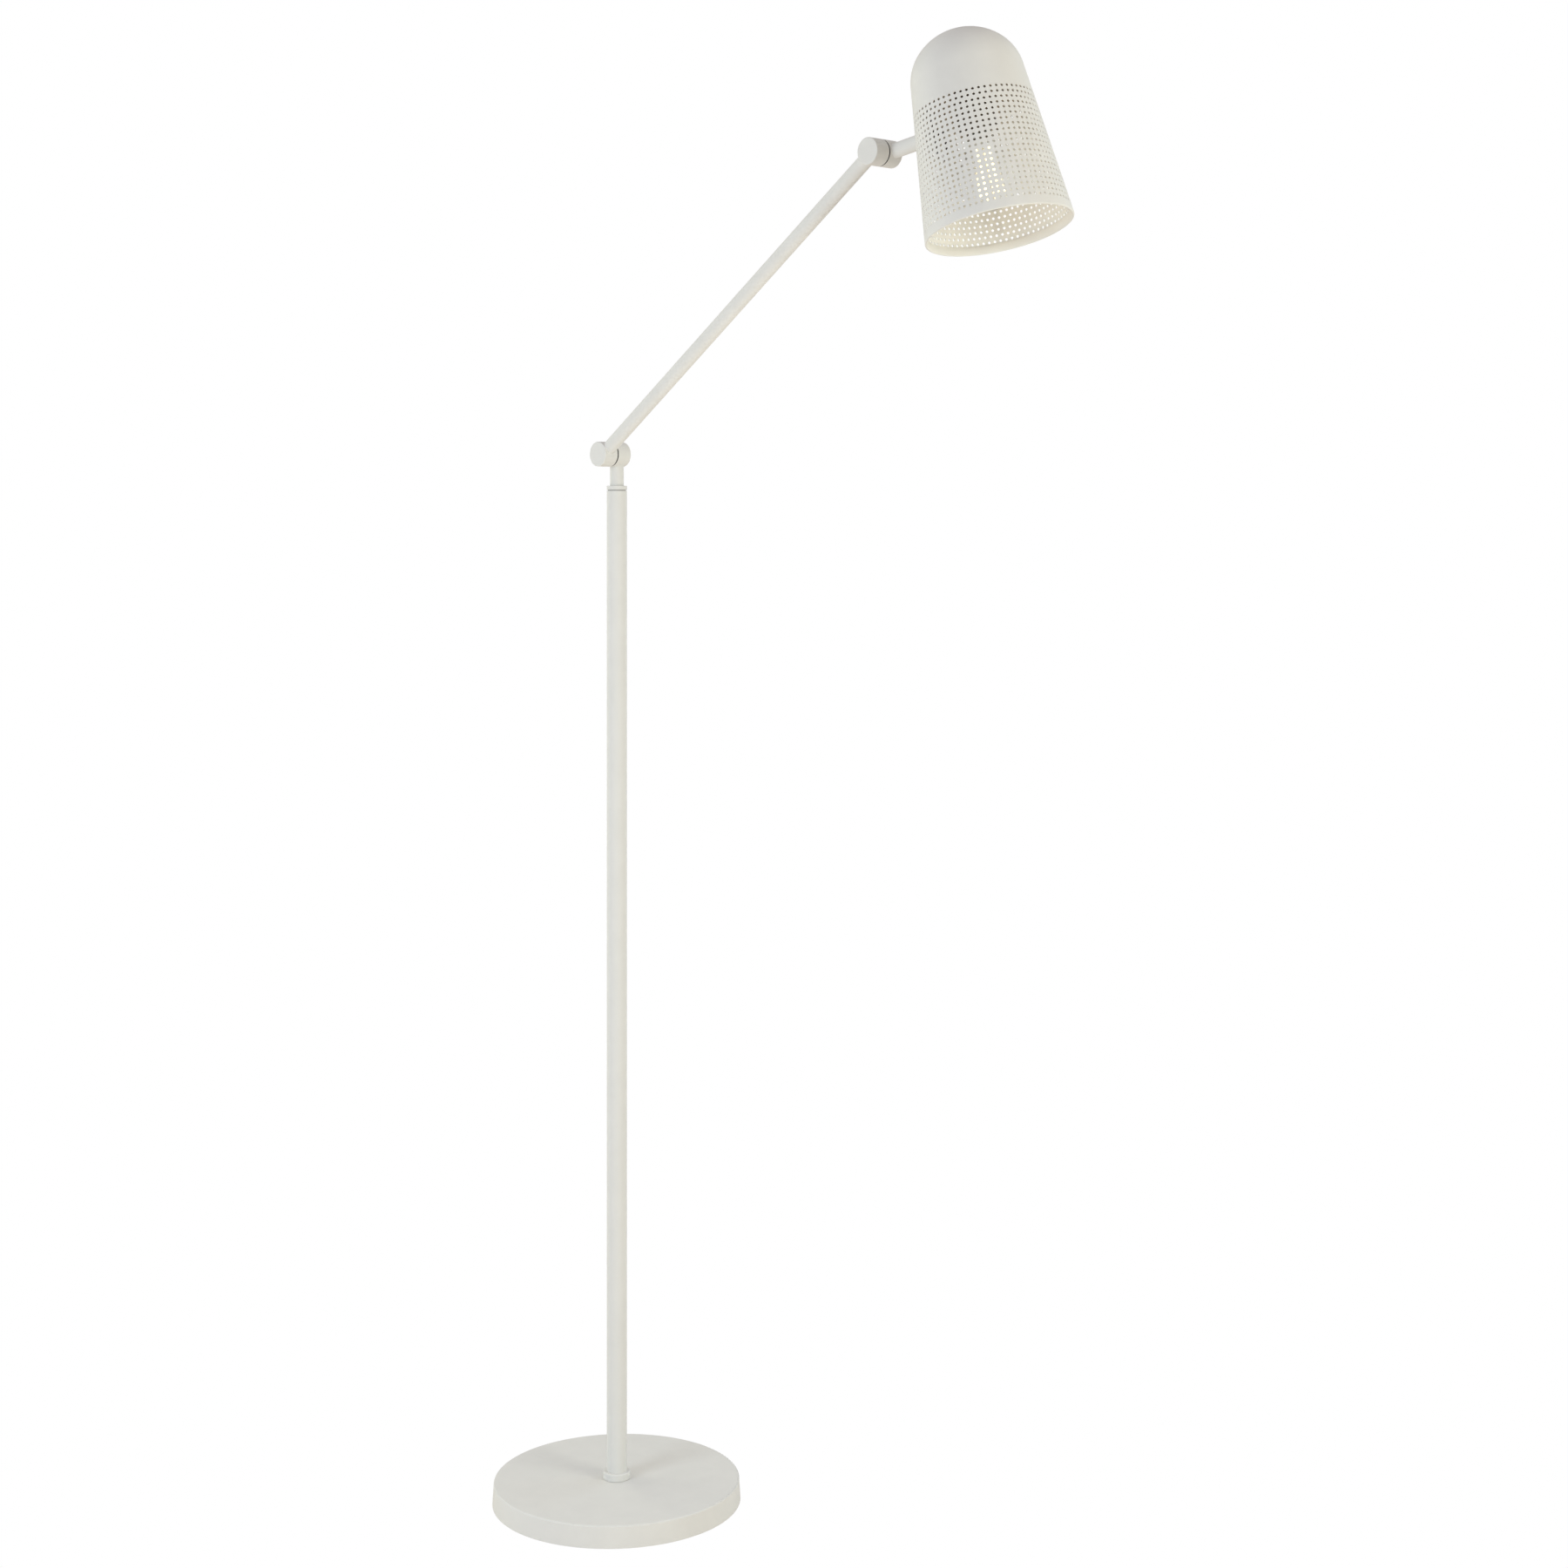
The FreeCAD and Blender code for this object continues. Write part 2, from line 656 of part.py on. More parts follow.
def port(body, along_axis, lead_place):
    """The socket that the tube enters, and the smaller hole behind it that the lead passes."""
    socket = [(along_axis, "0", "tube_diameter / 2")]
    cut = drill(body, "YZ_Plane", socket, body.Label + "_socket", backwards=True)
    cut.Profile[0].setExpression("AttachmentOffset.Base.z", bound(TUBE_INSET))
    drill(body, "YZ_Plane", [(lead_place, "0", LEAD_HOLE)], body.Label + "_lead_hole", backwards=True)


def rear_hub(joint, frame):
    """The hub on the pole's or shade's side, with its cap and the washer that rubs in its face."""
    recess_r = f"({FRICTION_R} + 0.1)"
    recess = f"{REAR_FRONT} + 1"
    points = [
        (f"{SHAFT_R} + running_clearance", recess),
        (recess_r, recess),
        (recess_r, REAR_FRONT),
        (f"{HUB_R} - {HUB_EDGE}", REAR_FRONT),
        (HUB_R, f"{REAR_FRONT} + {HUB_EDGE}"),
        (HUB_R, f"{REAR_BACK} - {HUB_EDGE}"),
        (f"{HUB_R} - {HUB_EDGE}", REAR_BACK),
        (CAVITY_R, REAR_BACK),
        (CAVITY_R, WEB_INSIDE),
        (f"{SHAFT_R} + running_clearance", WEB_INSIDE),
    ]
    arcs = {3: (HUB_EDGE, 1), 5: (HUB_EDGE, 1)}
    body = turned(joint + "_rear_hub", frame, points, arcs, "XY_Plane")
    port(body, "0", LEAD_SIDE)
    ring(joint + "_rear_cap", frame, "0", CAVITY_R, f"{REAR_BACK} - 2", REAR_BACK, "XY_Plane")
    washer = (f"{SHAFT_R} + 0.2", FRICTION_R, f"{REAR_FRONT} - (hub_gap - 0.3)", recess)
    ring(joint + "_friction_washer", frame, *washer, "XY_Plane")


def front_hub(joint, frame):
    """The hub on the arm's side, with the hollow pivot pressed into it and what holds the pivot."""
    points = [
        ("0", FRONT_FRONT),
        (f"{HUB_R} - {HUB_EDGE}", FRONT_FRONT),
        (HUB_R, f"{FRONT_FRONT} + {HUB_EDGE}"),
        (HUB_R, f"{FRONT_BACK} - {HUB_EDGE}"),
        (f"{HUB_R} - {HUB_EDGE}", FRONT_BACK),
        (CAVITY_R, FRONT_BACK),
        (CAVITY_R, f"{FRONT_FRONT} + hub_web"),
        ("0", f"{FRONT_FRONT} + hub_web"),
    ]
    arcs = {1: (HUB_EDGE, 1), 3: (HUB_EDGE, 1)}
    body = turned(joint + "_front_hub", frame, points, arcs, "XY_Plane")
    port(body, FRONT_MIDDLE, FRONT_MIDDLE)
    pivot = [
        ("shaft_bore / 2", f"{FRONT_BACK} - 3"),
        (CAVITY_R, f"{FRONT_BACK} - 3"),
        (CAVITY_R, FRONT_BACK),
        (SHAFT_R, FRONT_BACK),
        (SHAFT_R, SHAFT_END),
        ("shaft_bore / 2", SHAFT_END),
    ]
    turned(joint + "_pivot", frame, pivot, plane="XY_Plane")
    nut_front = f"({WEB_INSIDE} + 1.6)"
    washer = (f"{SHAFT_R} + 0.2", "9", f"{WEB_INSIDE} + 0.3", nut_front)
    ring(joint + "_spring_washer", frame, *washer, "XY_Plane")
    hex_nut(joint + "_lock_nut", frame, "XZ_Plane", "16", SHAFT_R, f"-{SHAFT_END}", f"-{nut_front}")


def arm():
    """The long tube between the front hubs, and the lead that runs through it from pivot to pivot."""
    body = new_body("arm_tube", ARM)
    sketch = new_sketch(body, "YZ_Plane", "arm_tube_section")
    circle(sketch, FRONT_MIDDLE, "0", "tube_diameter / 2")
    circle(sketch, FRONT_MIDDLE, "0", "tube_diameter / 2 - 1")
    sketch.setExpression("AttachmentOffset.Base.z", bound(TUBE_INSET))
    pad = body.newObject("PartDesign::Pad", "arm_tube_pad")
    pad.Profile = sketch
    pad.setExpression("Length", bound(f"arm_length - 2 * {TUBE_INSET}"))
    route = [
        ("0", SHAFT_END, "0"),
        ("0", FRONT_MIDDLE, "0"),
        ("arm_length", FRONT_MIDDLE, "0"),
        ("arm_length", SHAFT_END, "0"),
    ]
    lead("lead_arm", ARM, route, 4.5)


# ---------------------------------------------------------------------------------------------
# Rod that holds the shade. X runs from the wrist's axis to the shade's wall, and meets it squarely.

WALL_IN = "(rod_reach + shade_wall)"
NIPPLE_WALL_R = "4.2"
STRIP = "2"
STRIP_IN = f"({WALL_IN} + 0.8 + {STRIP})"


def rod():
    """Tube whose end is hollowed to fit the shade's wall, and the threaded nipple that holds it."""
    body = ring_about_x("rod_tube", ROD, NECK_BORE, "tube_diameter / 2", TUBE_INSET, "rod_reach + 1")
    wall_radius = f"({ROD_WALL_X} / cos(cone_angle))"
    sketch = new_sketch(body, "XZ_Plane", "cope_outline")
    sketch.setExpression("AttachmentOffset.Base.x", bound(f"rod_reach + {wall_radius}"))
    wall_x = f"-{wall_radius}"
    outline(sketch, [(wall_x, "-20"), ("-30", "-20"), ("-30", "20"), (wall_x, "20")])
    cope = body.newObject("PartDesign::Groove", "cope")
    cope.Profile = sketch
    cope.ReferenceAxis = (sketch, ["V_Axis"])
    cope.Angle = 360
    ring_about_x("rod_plug", ROD, THREAD_R, NECK_BORE, "rod_reach - 14", "rod_reach - 1.5")
    ring_about_x("rod_nipple", ROD, LEAD_HOLE, THREAD_R, "rod_reach - 12", f"{STRIP_IN} + 7")
    ring_about_x("rod_washer", ROD, "4.3", "7.8", STRIP_IN, f"{STRIP_IN} + 1.2")
    hex_nut("rod_nut", ROD, "YZ_Plane", "13", THREAD_R, f"{STRIP_IN} + 1.2", f"{STRIP_IN} + 5.2")


# ---------------------------------------------------------------------------------------------
# Shade. Z runs up its axis from the centre of the mouth.

INNER_MOUTH = "(mouth_radius - shade_wall / cos(cone_angle))"


def inner_radius(level):
    """The inside of the cone's wall at a height above the mouth."""
    return f"({INNER_MOUTH} - ({level}) * tan(cone_angle))"


def cone_radius(level):
    return f"(mouth_radius - ({level}) * tan(cone_angle))"


def shade_shell():
    """Cone with a domed top and a folded hem round its mouth. The dome is a shoulder arc that
    leaves the cone without a corner, and a flatter crown arc that meets the shoulder."""
    tilt = math.radians(number("cone_angle"))
    wall = number("shade_wall")
    top = number("shade_height")
    shoulder = number("shoulder_radius")
    shoulder_z = number("cone_height") - shoulder * math.sin(tilt)
    shoulder_x = number(cone_radius("cone_height")) - shoulder * math.cos(tilt)
    # The crown's radius follows from meeting the shoulder's circle and passing through the top.
    drop = top - shoulder_z
    crown = (shoulder_x ** 2 + drop ** 2 - shoulder ** 2) / (2 * (drop - shoulder))
    away = math.atan2(shoulder_x, shoulder_z - (top - crown))

    def profile(offset):
        """Points and arcs of the dome, from the cone to the top, moved inwards by offset."""
        small = shoulder - offset
        large = crown - offset
        start = Vector(shoulder_x + small * math.cos(tilt), 0, shoulder_z + small * math.sin(tilt))
        halfway = (math.pi / 2 - away + tilt) / 2
        middle_x = shoulder_x + small * math.cos(halfway)
        middle = Vector(middle_x, 0, shoulder_z + small * math.sin(halfway))
        meet = Vector(large * math.sin(away), 0, top - crown + large * math.cos(away))
        high = Vector(large * math.sin(away / 2), 0, top - crown + large * math.cos(away / 2))
        peak = Vector(0, 0, top - offset)
        return start, [Part.Arc(start, middle, meet), Part.Arc(meet, high, peak)], peak

    outer_start, outer_arcs, outer_peak = profile(0)
    inner_start, inner_arcs, inner_peak = profile(wall)
    hem = number("hem_height")
    # The hem is the wall turned inwards and up round a half-round edge. It is solid right through.
    fold = number("hem_depth / 2")
    lean = Vector(-math.sin(tilt), 0, math.cos(tilt))
    inward = Vector(-math.cos(tilt), 0, -math.sin(tilt))
    edge_out = Vector(number("mouth_radius"), 0, 0) + lean * fold
    edge_in = edge_out + inward * (2 * fold)
    edge_low = edge_out + inward * fold - lean * fold
    hem_in = edge_in + lean * hem
    hem_out = hem_in - inward * (2 * fold - wall)
    edges = [
        Part.LineSegment(edge_out, outer_start).toShape(),
        *[arc.toShape() for arc in outer_arcs],
        Part.LineSegment(outer_peak, inner_peak).toShape(),
        *[arc.toShape() for arc in reversed(inner_arcs)],
        Part.LineSegment(inner_start, hem_out).toShape(),
        Part.LineSegment(hem_out, hem_in).toShape(),
        Part.LineSegment(hem_in, edge_in).toShape(),
        Part.Arc(edge_in, edge_low, edge_out).toShape(),
    ]
    profile_wire = Part.Wire(Part.__sortEdges__(edges))
    shell = Part.Face(profile_wire).revolve(Vector(0, 0, 0), Vector(0, 0, 1), 360)
    shell = Part.makeSolid(shell.Shells[0]) if shell.ShapeType != "Solid" else shell
    if shell.Volume < 0:
        shell.reverse()
    wall_x = -number(ROD_WALL_X)
    axis = Vector(math.cos(tilt), 0, -math.sin(tilt))
    reach = 6
    seat = Vector(wall_x, 0, number("rod_level"))
    hole = Part.makeCylinder(number(NIPPLE_WALL_R), 2 * reach, seat - axis * reach, axis)
    loose_solids("shade_shell", SHADE, [shell.cut(hole)])


def socket_bracket():
    """Steel strip bent once: one leg behind the shade's wall, one above the lampholder."""
    body = new_body("socket_bracket", SHADE)
    low = "100"
    top = "bracket_level"
    under = f"(bracket_level - {STRIP})"
    gap = "0.8"
    points = [
        (f"-({inner_radius(low)} - {gap})", low),
        (f"-({inner_radius(top)} - {gap})", top),
        ("10", top),
        ("10", under),
        (f"-({inner_radius(under)} - {gap} - {STRIP} / cos(cone_angle))", under),
        (f"-({inner_radius(low)} - {gap} - {STRIP} / cos(cone_angle))", low),
    ]
    sketch = new_sketch(body, "XZ_Plane", "bracket_outline")
    outline(sketch, points)
    pad = body.newObject("PartDesign::Pad", "bracket_pad")
    pad.Profile = sketch
    pad.setExpression("Length", "16")
    pad.SideType = "Symmetric"
    drill(body, "XY_Plane", [("0", "0", NIPPLE_WALL_R)], "holder_hole", backwards=True)
    drill(body, "YZ_Plane", [("0", "rod_level - 0.5", "4.5")], "rod_hole")


# ---------------------------------------------------------------------------------------------
# Lampholder and bulb

HOLDER_TOP = f"(bracket_level - {STRIP})"
BULB_MIDDLE = "(bulb_tip + bulb_radius)"
NECK_CURVE = "45"
GLASS_WALL = 0.9
THREAD_LENGTH = 18
THREAD_ROUNDS = 6
HOLDER_BORE = "13.9"
CAP_LOW = "(holder_bottom + 1)"
CAP_HIGH = "(holder_bottom + 25)"


def lampholder():
    """Holder with its screw shell and centre contact, hung from the bracket by a nipple and nut."""
    points = [
        (HOLDER_BORE, "holder_bottom"),
        ("holder_radius - 1.5", "holder_bottom"),
        ("holder_radius", "holder_bottom + 1.5"),
        ("holder_radius", "holder_bottom + 26"),
        ("holder_radius - 1.5", "holder_bottom + 29"),
        ("holder_radius - 1.5", f"{HOLDER_TOP} - 8"),
        ("holder_radius - 7", HOLDER_TOP),
        (THREAD_R, HOLDER_TOP),
        (THREAD_R, f"{HOLDER_TOP} - 8"),
        ("9", f"{HOLDER_TOP} - 8"),
        ("9", "holder_bottom + 30"),
        (HOLDER_BORE, "holder_bottom + 30"),
    ]
    turned("lampholder", SHADE, points, {1: ("1.5", 1)})
    ring("screw_shell", SHADE, "13.3", "13.85", "holder_bottom + 2", "holder_bottom + 26")
    ring("holder_nipple", SHADE, LEAD_HOLE, THREAD_R, f"{HOLDER_TOP} - 7", "bracket_level + 6")
    hex_nut("holder_nut", SHADE, "XY_Plane", "13", THREAD_R, "bracket_level", "bracket_level + 4")
    body = new_body("centre_contact", SHADE)
    sketch = new_sketch(body, "XZ_Plane", "contact_outline")
    low = "holder_bottom + 30.2"
    outline(sketch, [("-8.6", low), ("8.6", low), ("8.6", f"{low} + 0.8"), ("-8.6", f"{low} + 0.8")])
    pad = body.newObject("PartDesign::Pad", "contact_pad")
    pad.Profile = sketch
    pad.Length = 4
    pad.SideType = "Symmetric"


def bulb():
    """Metal cap with its rounds of thread, and the insulated contact in its top."""
    cap_in = "(cap_radius - 0.7)"
    points = [
        ("bulb_neck + 0.1", CAP_LOW),
        ("cap_radius", CAP_LOW),
        ("cap_radius", CAP_HIGH),
        ("cap_radius - 4", f"{CAP_HIGH} + 3"),
        ("5", f"{CAP_HIGH} + 3"),
        ("5", f"{CAP_HIGH} + 2"),
        (f"{cap_in} - 4", f"{CAP_HIGH} + 2"),
        (cap_in, f"{CAP_HIGH} - 0.6"),
        (cap_in, f"{CAP_LOW} + 1"),
    ]
    body = turned("bulb_cap", SHADE, points)
    sketch = new_sketch(body, "XZ_Plane", "thread_outline")
    low = f"({CAP_LOW} + 3)"
    outer = "cap_radius + 1"
    outline(sketch, [("cap_radius - 0.35", low), (outer, f"{low} - 1.2"), (outer, f"{low} + 1.2")])
    groove = body.newObject("PartDesign::Groove", "thread")
    groove.Profile = sketch
    groove.ReferenceAxis = (sketch, ["V_Axis"])
    groove.Angle = 360
    doc.recompute()
    pattern = body.newObject("PartDesign::LinearPattern", "threads")
    pattern.Originals = [groove]
    z_axis = next(item for item in body.Origin.OriginFeatures if item.Role == "Z_Axis")
    pattern.Direction = (z_axis, [""])
    pattern.Length = THREAD_LENGTH
    pattern.Occurrences = THREAD_ROUNDS
    body.Tip = pattern
    contact = [
        ("0", f"{CAP_HIGH} + 1"),
        ("4.9", f"{CAP_HIGH} + 1"),
        ("4.9", f"{CAP_HIGH} + 5.1"),
        ("0", f"{CAP_HIGH} + 5.1"),
    ]
    turned("bulb_contact", SHADE, contact)
    bulb_glass()
    bulb_inside()


def bulb_glass():
    """Hollow glass: a sphere that runs into the neck through a waist of the opposite curve."""
    tip = number("bulb_tip")
    middle = number(BULB_MIDDLE)
    waist = number(NECK_CURVE)

    def half(offset):
        """Outline from the neck's top to the tip, moved inwards by offset."""
        sphere = number("bulb_radius") - offset
        neck = number("bulb_neck") - offset
        curve = waist + offset
        centre_x = neck + curve
        centre_z = middle + math.sqrt((sphere + curve) ** 2 - centre_x ** 2)
        share = sphere / (sphere + curve)
        join = Vector(centre_x * share, 0, middle + (centre_z - middle) * share)
        straight = Vector(neck, 0, centre_z)
        turn = math.atan2(centre_z - middle, centre_x)
        bend = Vector(centre_x - curve * math.cos(turn / 2), 0, centre_z - curve * math.sin(turn / 2))
        low = (turn - math.pi / 2) / 2
        side = Vector(sphere * math.cos(low), 0, middle + sphere * math.sin(low))
        bottom = Vector(0, 0, middle - sphere)
        high = Vector(neck, 0, number(CAP_LOW) + 11)
        edges = [
            Part.LineSegment(high, straight).toShape(),
            Part.Arc(straight, bend, join).toShape(),
            Part.Arc(join, side, bottom).toShape(),
        ]
        return high, edges, bottom

    outer_high, outer_edges, outer_low = half(0)
    inner_high, inner_edges, inner_low = half(GLASS_WALL)
    closing = [
        Part.LineSegment(outer_high, inner_high).toShape(),
        Part.LineSegment(outer_low, inner_low).toShape(),
    ]
    wire = Part.Wire(Part.__sortEdges__(outer_edges + inner_edges + closing))
    glass = Part.Face(wire).revolve(Vector(0, 0, 0), Vector(0, 0, 1), 360)
    glass = Part.makeSolid(glass.Shells[0]) if glass.ShapeType != "Solid" else glass
    if glass.Volume < 0:
        glass.reverse()
    assert abs(glass.BoundBox.ZMin - tip) < 0.01
    loose_solids("bulb_glass", SHADE, [glass])


FILAMENTS = 8
FILAMENT_R = 1.4
FILAMENT_RING_LOW = 12
FILAMENT_RING_HIGH = 7
FILAMENT_LOW = "(bulb_tip + 13)"
FILAMENT_HIGH = "(bulb_tip + 61)"


def bulb_inside():
    """Glass mount that carries the filaments, and the filaments, wider apart at the bottom."""
    seat = f"({CAP_LOW} + 11)"
    points = [
        ("0", f"{FILAMENT_HIGH} + 1"),
        ("3", f"{FILAMENT_HIGH} + 1"),
        ("3.4", f"{seat} - 8"),
        ("bulb_neck - 1", f"{seat} - 1"),
        ("bulb_neck - 1", seat),
        ("0", seat),
    ]
    turned("bulb_mount", SHADE, points)
    rods = []
    low = number(FILAMENT_LOW)
    high = number(FILAMENT_HIGH)
    for turn in range(FILAMENTS):
        angle = 2 * math.pi * (turn + 0.5) / FILAMENTS
        outward = Vector(math.cos(angle), math.sin(angle), 0)
        bottom = outward * FILAMENT_RING_LOW + Vector(0, 0, low)
        top = outward * FILAMENT_RING_HIGH + Vector(0, 0, high)
        rods.append(Part.makeCylinder(FILAMENT_R, (top - bottom).Length, bottom, top - bottom))
    loose_solids("bulb_filaments", SHADE, rods)


def on_rod(along, side):
    """A point of the rod's frame, given in the shade's frame."""
    x = f"{WRIST_ACROSS} + ({along}) * cos(cone_angle)"
    z = f"{WRIST_UP} - ({along}) * sin(cone_angle)"
    return (x, side, z)


def lead_in_head():
    """From the wrist through the rod, then in a slack loop beside the lampholder and into its top."""
    above = "bracket_level + 20"
    route = [
        on_rod("-1.8", LEAD_SIDE),
        on_rod("hub_diameter / 2 + 3", LEAD_SIDE),
        on_rod("hub_diameter / 2 + 17", "0"),
        on_rod("rod_reach + 22", "0"),
        ("-40", "-9", "rod_level - 32"),
        ("-35", "-23", "rod_level - 31"),
        ("-30", "-31", "rod_level + 12"),
        ("-22", "-19", above),
        ("0", "0", above),
        ("0", "0", "bracket_level + 3"),
    ]
    lead("lead_head", SHADE, route, 6.5)


# ---------------------------------------------------------------------------------------------

base_cover()
base_weight()
base_plate()
base_plate_screws()
floor_pad()
cord_gland()
cord_clamp()
pole()
pole_cap()
lead_in_pole()
neck()
rear_hub("elbow", NECK_HINGE)
front_hub("elbow", ARM)
arm()
front_hub("wrist", ARM_END)
rear_hub("wrist", ROD)
rod()
shade_shell()
socket_bracket()
lampholder()
bulb()
lead_in_head()

doc.recompute()
for item in doc.Objects:
    assert not {"Invalid", "Error"} & set(item.State), (item.Label, item.State)
os.makedirs("parts", exist_ok=True)
for part in NODES:
    shape = part.Shape
    assert not shape.isNull() and shape.isValid() and shape.Solids, part.Label
    shape.exportStep(os.path.join("parts", part.Label + ".step"))
print(len(NODES), "sub-parts")
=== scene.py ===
import json
import math

import bmesh
import bpy
from mathutils import Matrix, Vector


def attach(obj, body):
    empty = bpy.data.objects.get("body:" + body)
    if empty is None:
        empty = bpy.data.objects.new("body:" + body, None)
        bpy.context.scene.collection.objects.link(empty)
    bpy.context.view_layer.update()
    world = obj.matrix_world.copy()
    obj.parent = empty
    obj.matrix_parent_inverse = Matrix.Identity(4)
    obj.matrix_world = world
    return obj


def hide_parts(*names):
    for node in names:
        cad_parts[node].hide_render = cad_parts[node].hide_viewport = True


# Looks of the adjustable arm floor lamp. Lengths are millimetres in the shade's own geometry and
# metres everywhere else. The shade is built here with its real perforations; every other CAD node
# keeps its shape and gets its own material.

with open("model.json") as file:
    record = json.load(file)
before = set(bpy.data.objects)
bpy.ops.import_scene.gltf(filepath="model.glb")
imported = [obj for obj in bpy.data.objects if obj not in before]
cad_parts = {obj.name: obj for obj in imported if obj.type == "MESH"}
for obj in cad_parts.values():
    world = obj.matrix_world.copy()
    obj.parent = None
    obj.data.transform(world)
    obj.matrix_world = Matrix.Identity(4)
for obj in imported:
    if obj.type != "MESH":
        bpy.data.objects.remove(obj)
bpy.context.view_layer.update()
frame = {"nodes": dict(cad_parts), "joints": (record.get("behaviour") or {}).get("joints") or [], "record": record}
scene = bpy.context.scene

MM = 0.001

# ---------------------------------------------------------------------------------------------
# The shade's frame: Z runs up its axis from the centre of the mouth, and X points away from the rod

SHADE_TILT = math.radians(15.18)
CONE_ANGLE = math.radians(6.235)
MOUTH_RADIUS = 71.66
CONE_HEIGHT = 155.5
SHADE_HEIGHT = 201.5
SHOULDER_RADIUS = 48.7
WALL = 0.8
HEM_HEIGHT = 6.8
HEM_DEPTH = 2.4
HEM_SHEET = 0.6
HEM_GAP_DEPTH = 3.0
# Painted shade: between these two levels the shade's inner face darkens to the painted shade colour.
PAINTED_SHADE_LOW = 110.0
PAINTED_SHADE_HIGH = 138.0
ROD_REACH = 58.7
ROD_LEVEL = 116.1
SEAT_RADIUS = 10.0

joint_places = {joint["name"]: joint["pos_m"] for joint in frame["joints"]}
wrist_x, _, wrist_z = joint_places["head_tilt"]
wrist_across = -(MOUTH_RADIUS - ROD_LEVEL * math.tan(CONE_ANGLE)) - ROD_REACH * math.cos(CONE_ANGLE)
wrist_up = ROD_LEVEL + ROD_REACH * math.sin(CONE_ANGLE)
shade_turn = Matrix.Rotation(-SHADE_TILT, 4, "Y")
wrist_offset = shade_turn @ Vector((wrist_across, 0, wrist_up))
mouth_centre = Vector((wrist_x, 0, wrist_z)) - wrist_offset * MM
shade_frame = Matrix.Translation(mouth_centre) @ shade_turn @ Matrix.Scale(MM, 4)


def in_shade(x, y, z):
    """World place of a point given in the shade's frame, in millimetres."""
    return shade_frame @ Vector((x, y, z))


# ---------------------------------------------------------------------------------------------
# Camera and light

CAMERA_PLACE = (2.08313, -1.80152, 1.06207)
CAMERA_AZIMUTH = math.radians(45)
CAMERA_LENS = 57.65
CAMERA_SHIFT = (-0.0095, -0.1627)

camera_data = bpy.data.cameras.new("camera")
camera = bpy.data.objects.new("camera", camera_data)
scene.collection.objects.link(camera)
camera.location = CAMERA_PLACE
looking = Vector((-math.sin(CAMERA_AZIMUTH), math.cos(CAMERA_AZIMUTH), 0))
camera.rotation_euler = looking.to_track_quat("-Z", "Y").to_euler()
camera_data.sensor_width = 36
camera_data.lens = CAMERA_LENS
camera_data.shift_x, camera_data.shift_y = CAMERA_SHIFT
scene.camera = camera
scene.view_settings.view_transform = "Standard"

to_camera = -looking
to_right = Vector((math.cos(CAMERA_AZIMUTH), math.sin(CAMERA_AZIMUTH), 0))
LAMP_MIDDLE = Vector((0.25, 0, 0.8))


def softbox(name, across, towards, up, size, power, colour):
    """A square soft light, placed from the lamp's middle and aimed at it."""
    data = bpy.data.lights.new(name, "AREA")
    data.shape = "SQUARE"
    data.size = size
    data.energy = power
    data.color = colour
    light = bpy.data.objects.new(name, data)
    scene.collection.objects.link(light)
    light.location = LAMP_MIDDLE + to_right * across + to_camera * towards + Vector((0, 0, up))
    light.rotation_euler = (LAMP_MIDDLE - light.location).to_track_quat("-Z", "Y").to_euler()


softbox("left_softbox", -2.2, 2.0, 0.3, 1.2, 41, (0.78, 0.90, 1.0))
softbox("right_softbox", 2.1, 1.3, 0.3, 1.2, 30, (0.97, 1.0, 0.90))
softbox("rear_left_softbox", -2.4, -1.6, 0.6, 2.6, 24, (0.97, 1.0, 0.76))
softbox("rear_right_softbox", 2.4, -1.6, 0.6, 2.6, 15, (0.45, 0.75, 1.0))

# The room is dark at the horizon and brightens towards the zenith. Camera rays, and rays that have
# come through glass, see plain white paper instead.

CEILING = 0.89

world = bpy.data.worlds.new("studio")
scene.world = world
world.use_nodes = True
world_nodes = world.node_tree.nodes
world_links = world.node_tree.links
world_nodes.clear()
room = world_nodes.new("ShaderNodeBackground")
room.inputs["Color"].default_value = (1.0, 0.95, 0.95, 1)
direction = world_nodes.new("ShaderNodeTexCoord")
height = world_nodes.new("ShaderNodeSeparateXYZ")
ceiling = world_nodes.new("ShaderNodeMapRange")
ceiling.inputs["To Min"].default_value = 0.0
ceiling.inputs["To Max"].default_value = CEILING
paper = world_nodes.new("ShaderNodeBackground")
paper.inputs["Color"].default_value = (1, 1, 1, 1)
paper.inputs["Strength"].default_value = 1.0
ray = world_nodes.new("ShaderNodeLightPath")
pick = world_nodes.new("ShaderNodeMixShader")
world_out = world_nodes.new("ShaderNodeOutputWorld")
world_links.new(direction.outputs["Generated"], height.inputs[0])
world_links.new(height.outputs["Z"], ceiling.inputs["Value"])
world_links.new(ceiling.outputs["Result"], room.inputs["Strength"])
through = world_nodes.new("ShaderNodeMath")
through.operation = "MAXIMUM"
world_links.new(ray.outputs["Is Camera Ray"], through.inputs[0])
world_links.new(ray.outputs["Is Transmission Ray"], through.inputs[1])
world_links.new(through.outputs[0], pick.inputs[0])
world_links.new(room.outputs[0], pick.inputs[1])
world_links.new(paper.outputs[0], pick.inputs[2])
world_links.new(pick.outputs[0], world_out.inputs["Surface"])

# ---------------------------------------------------------------------------------------------
# Materials


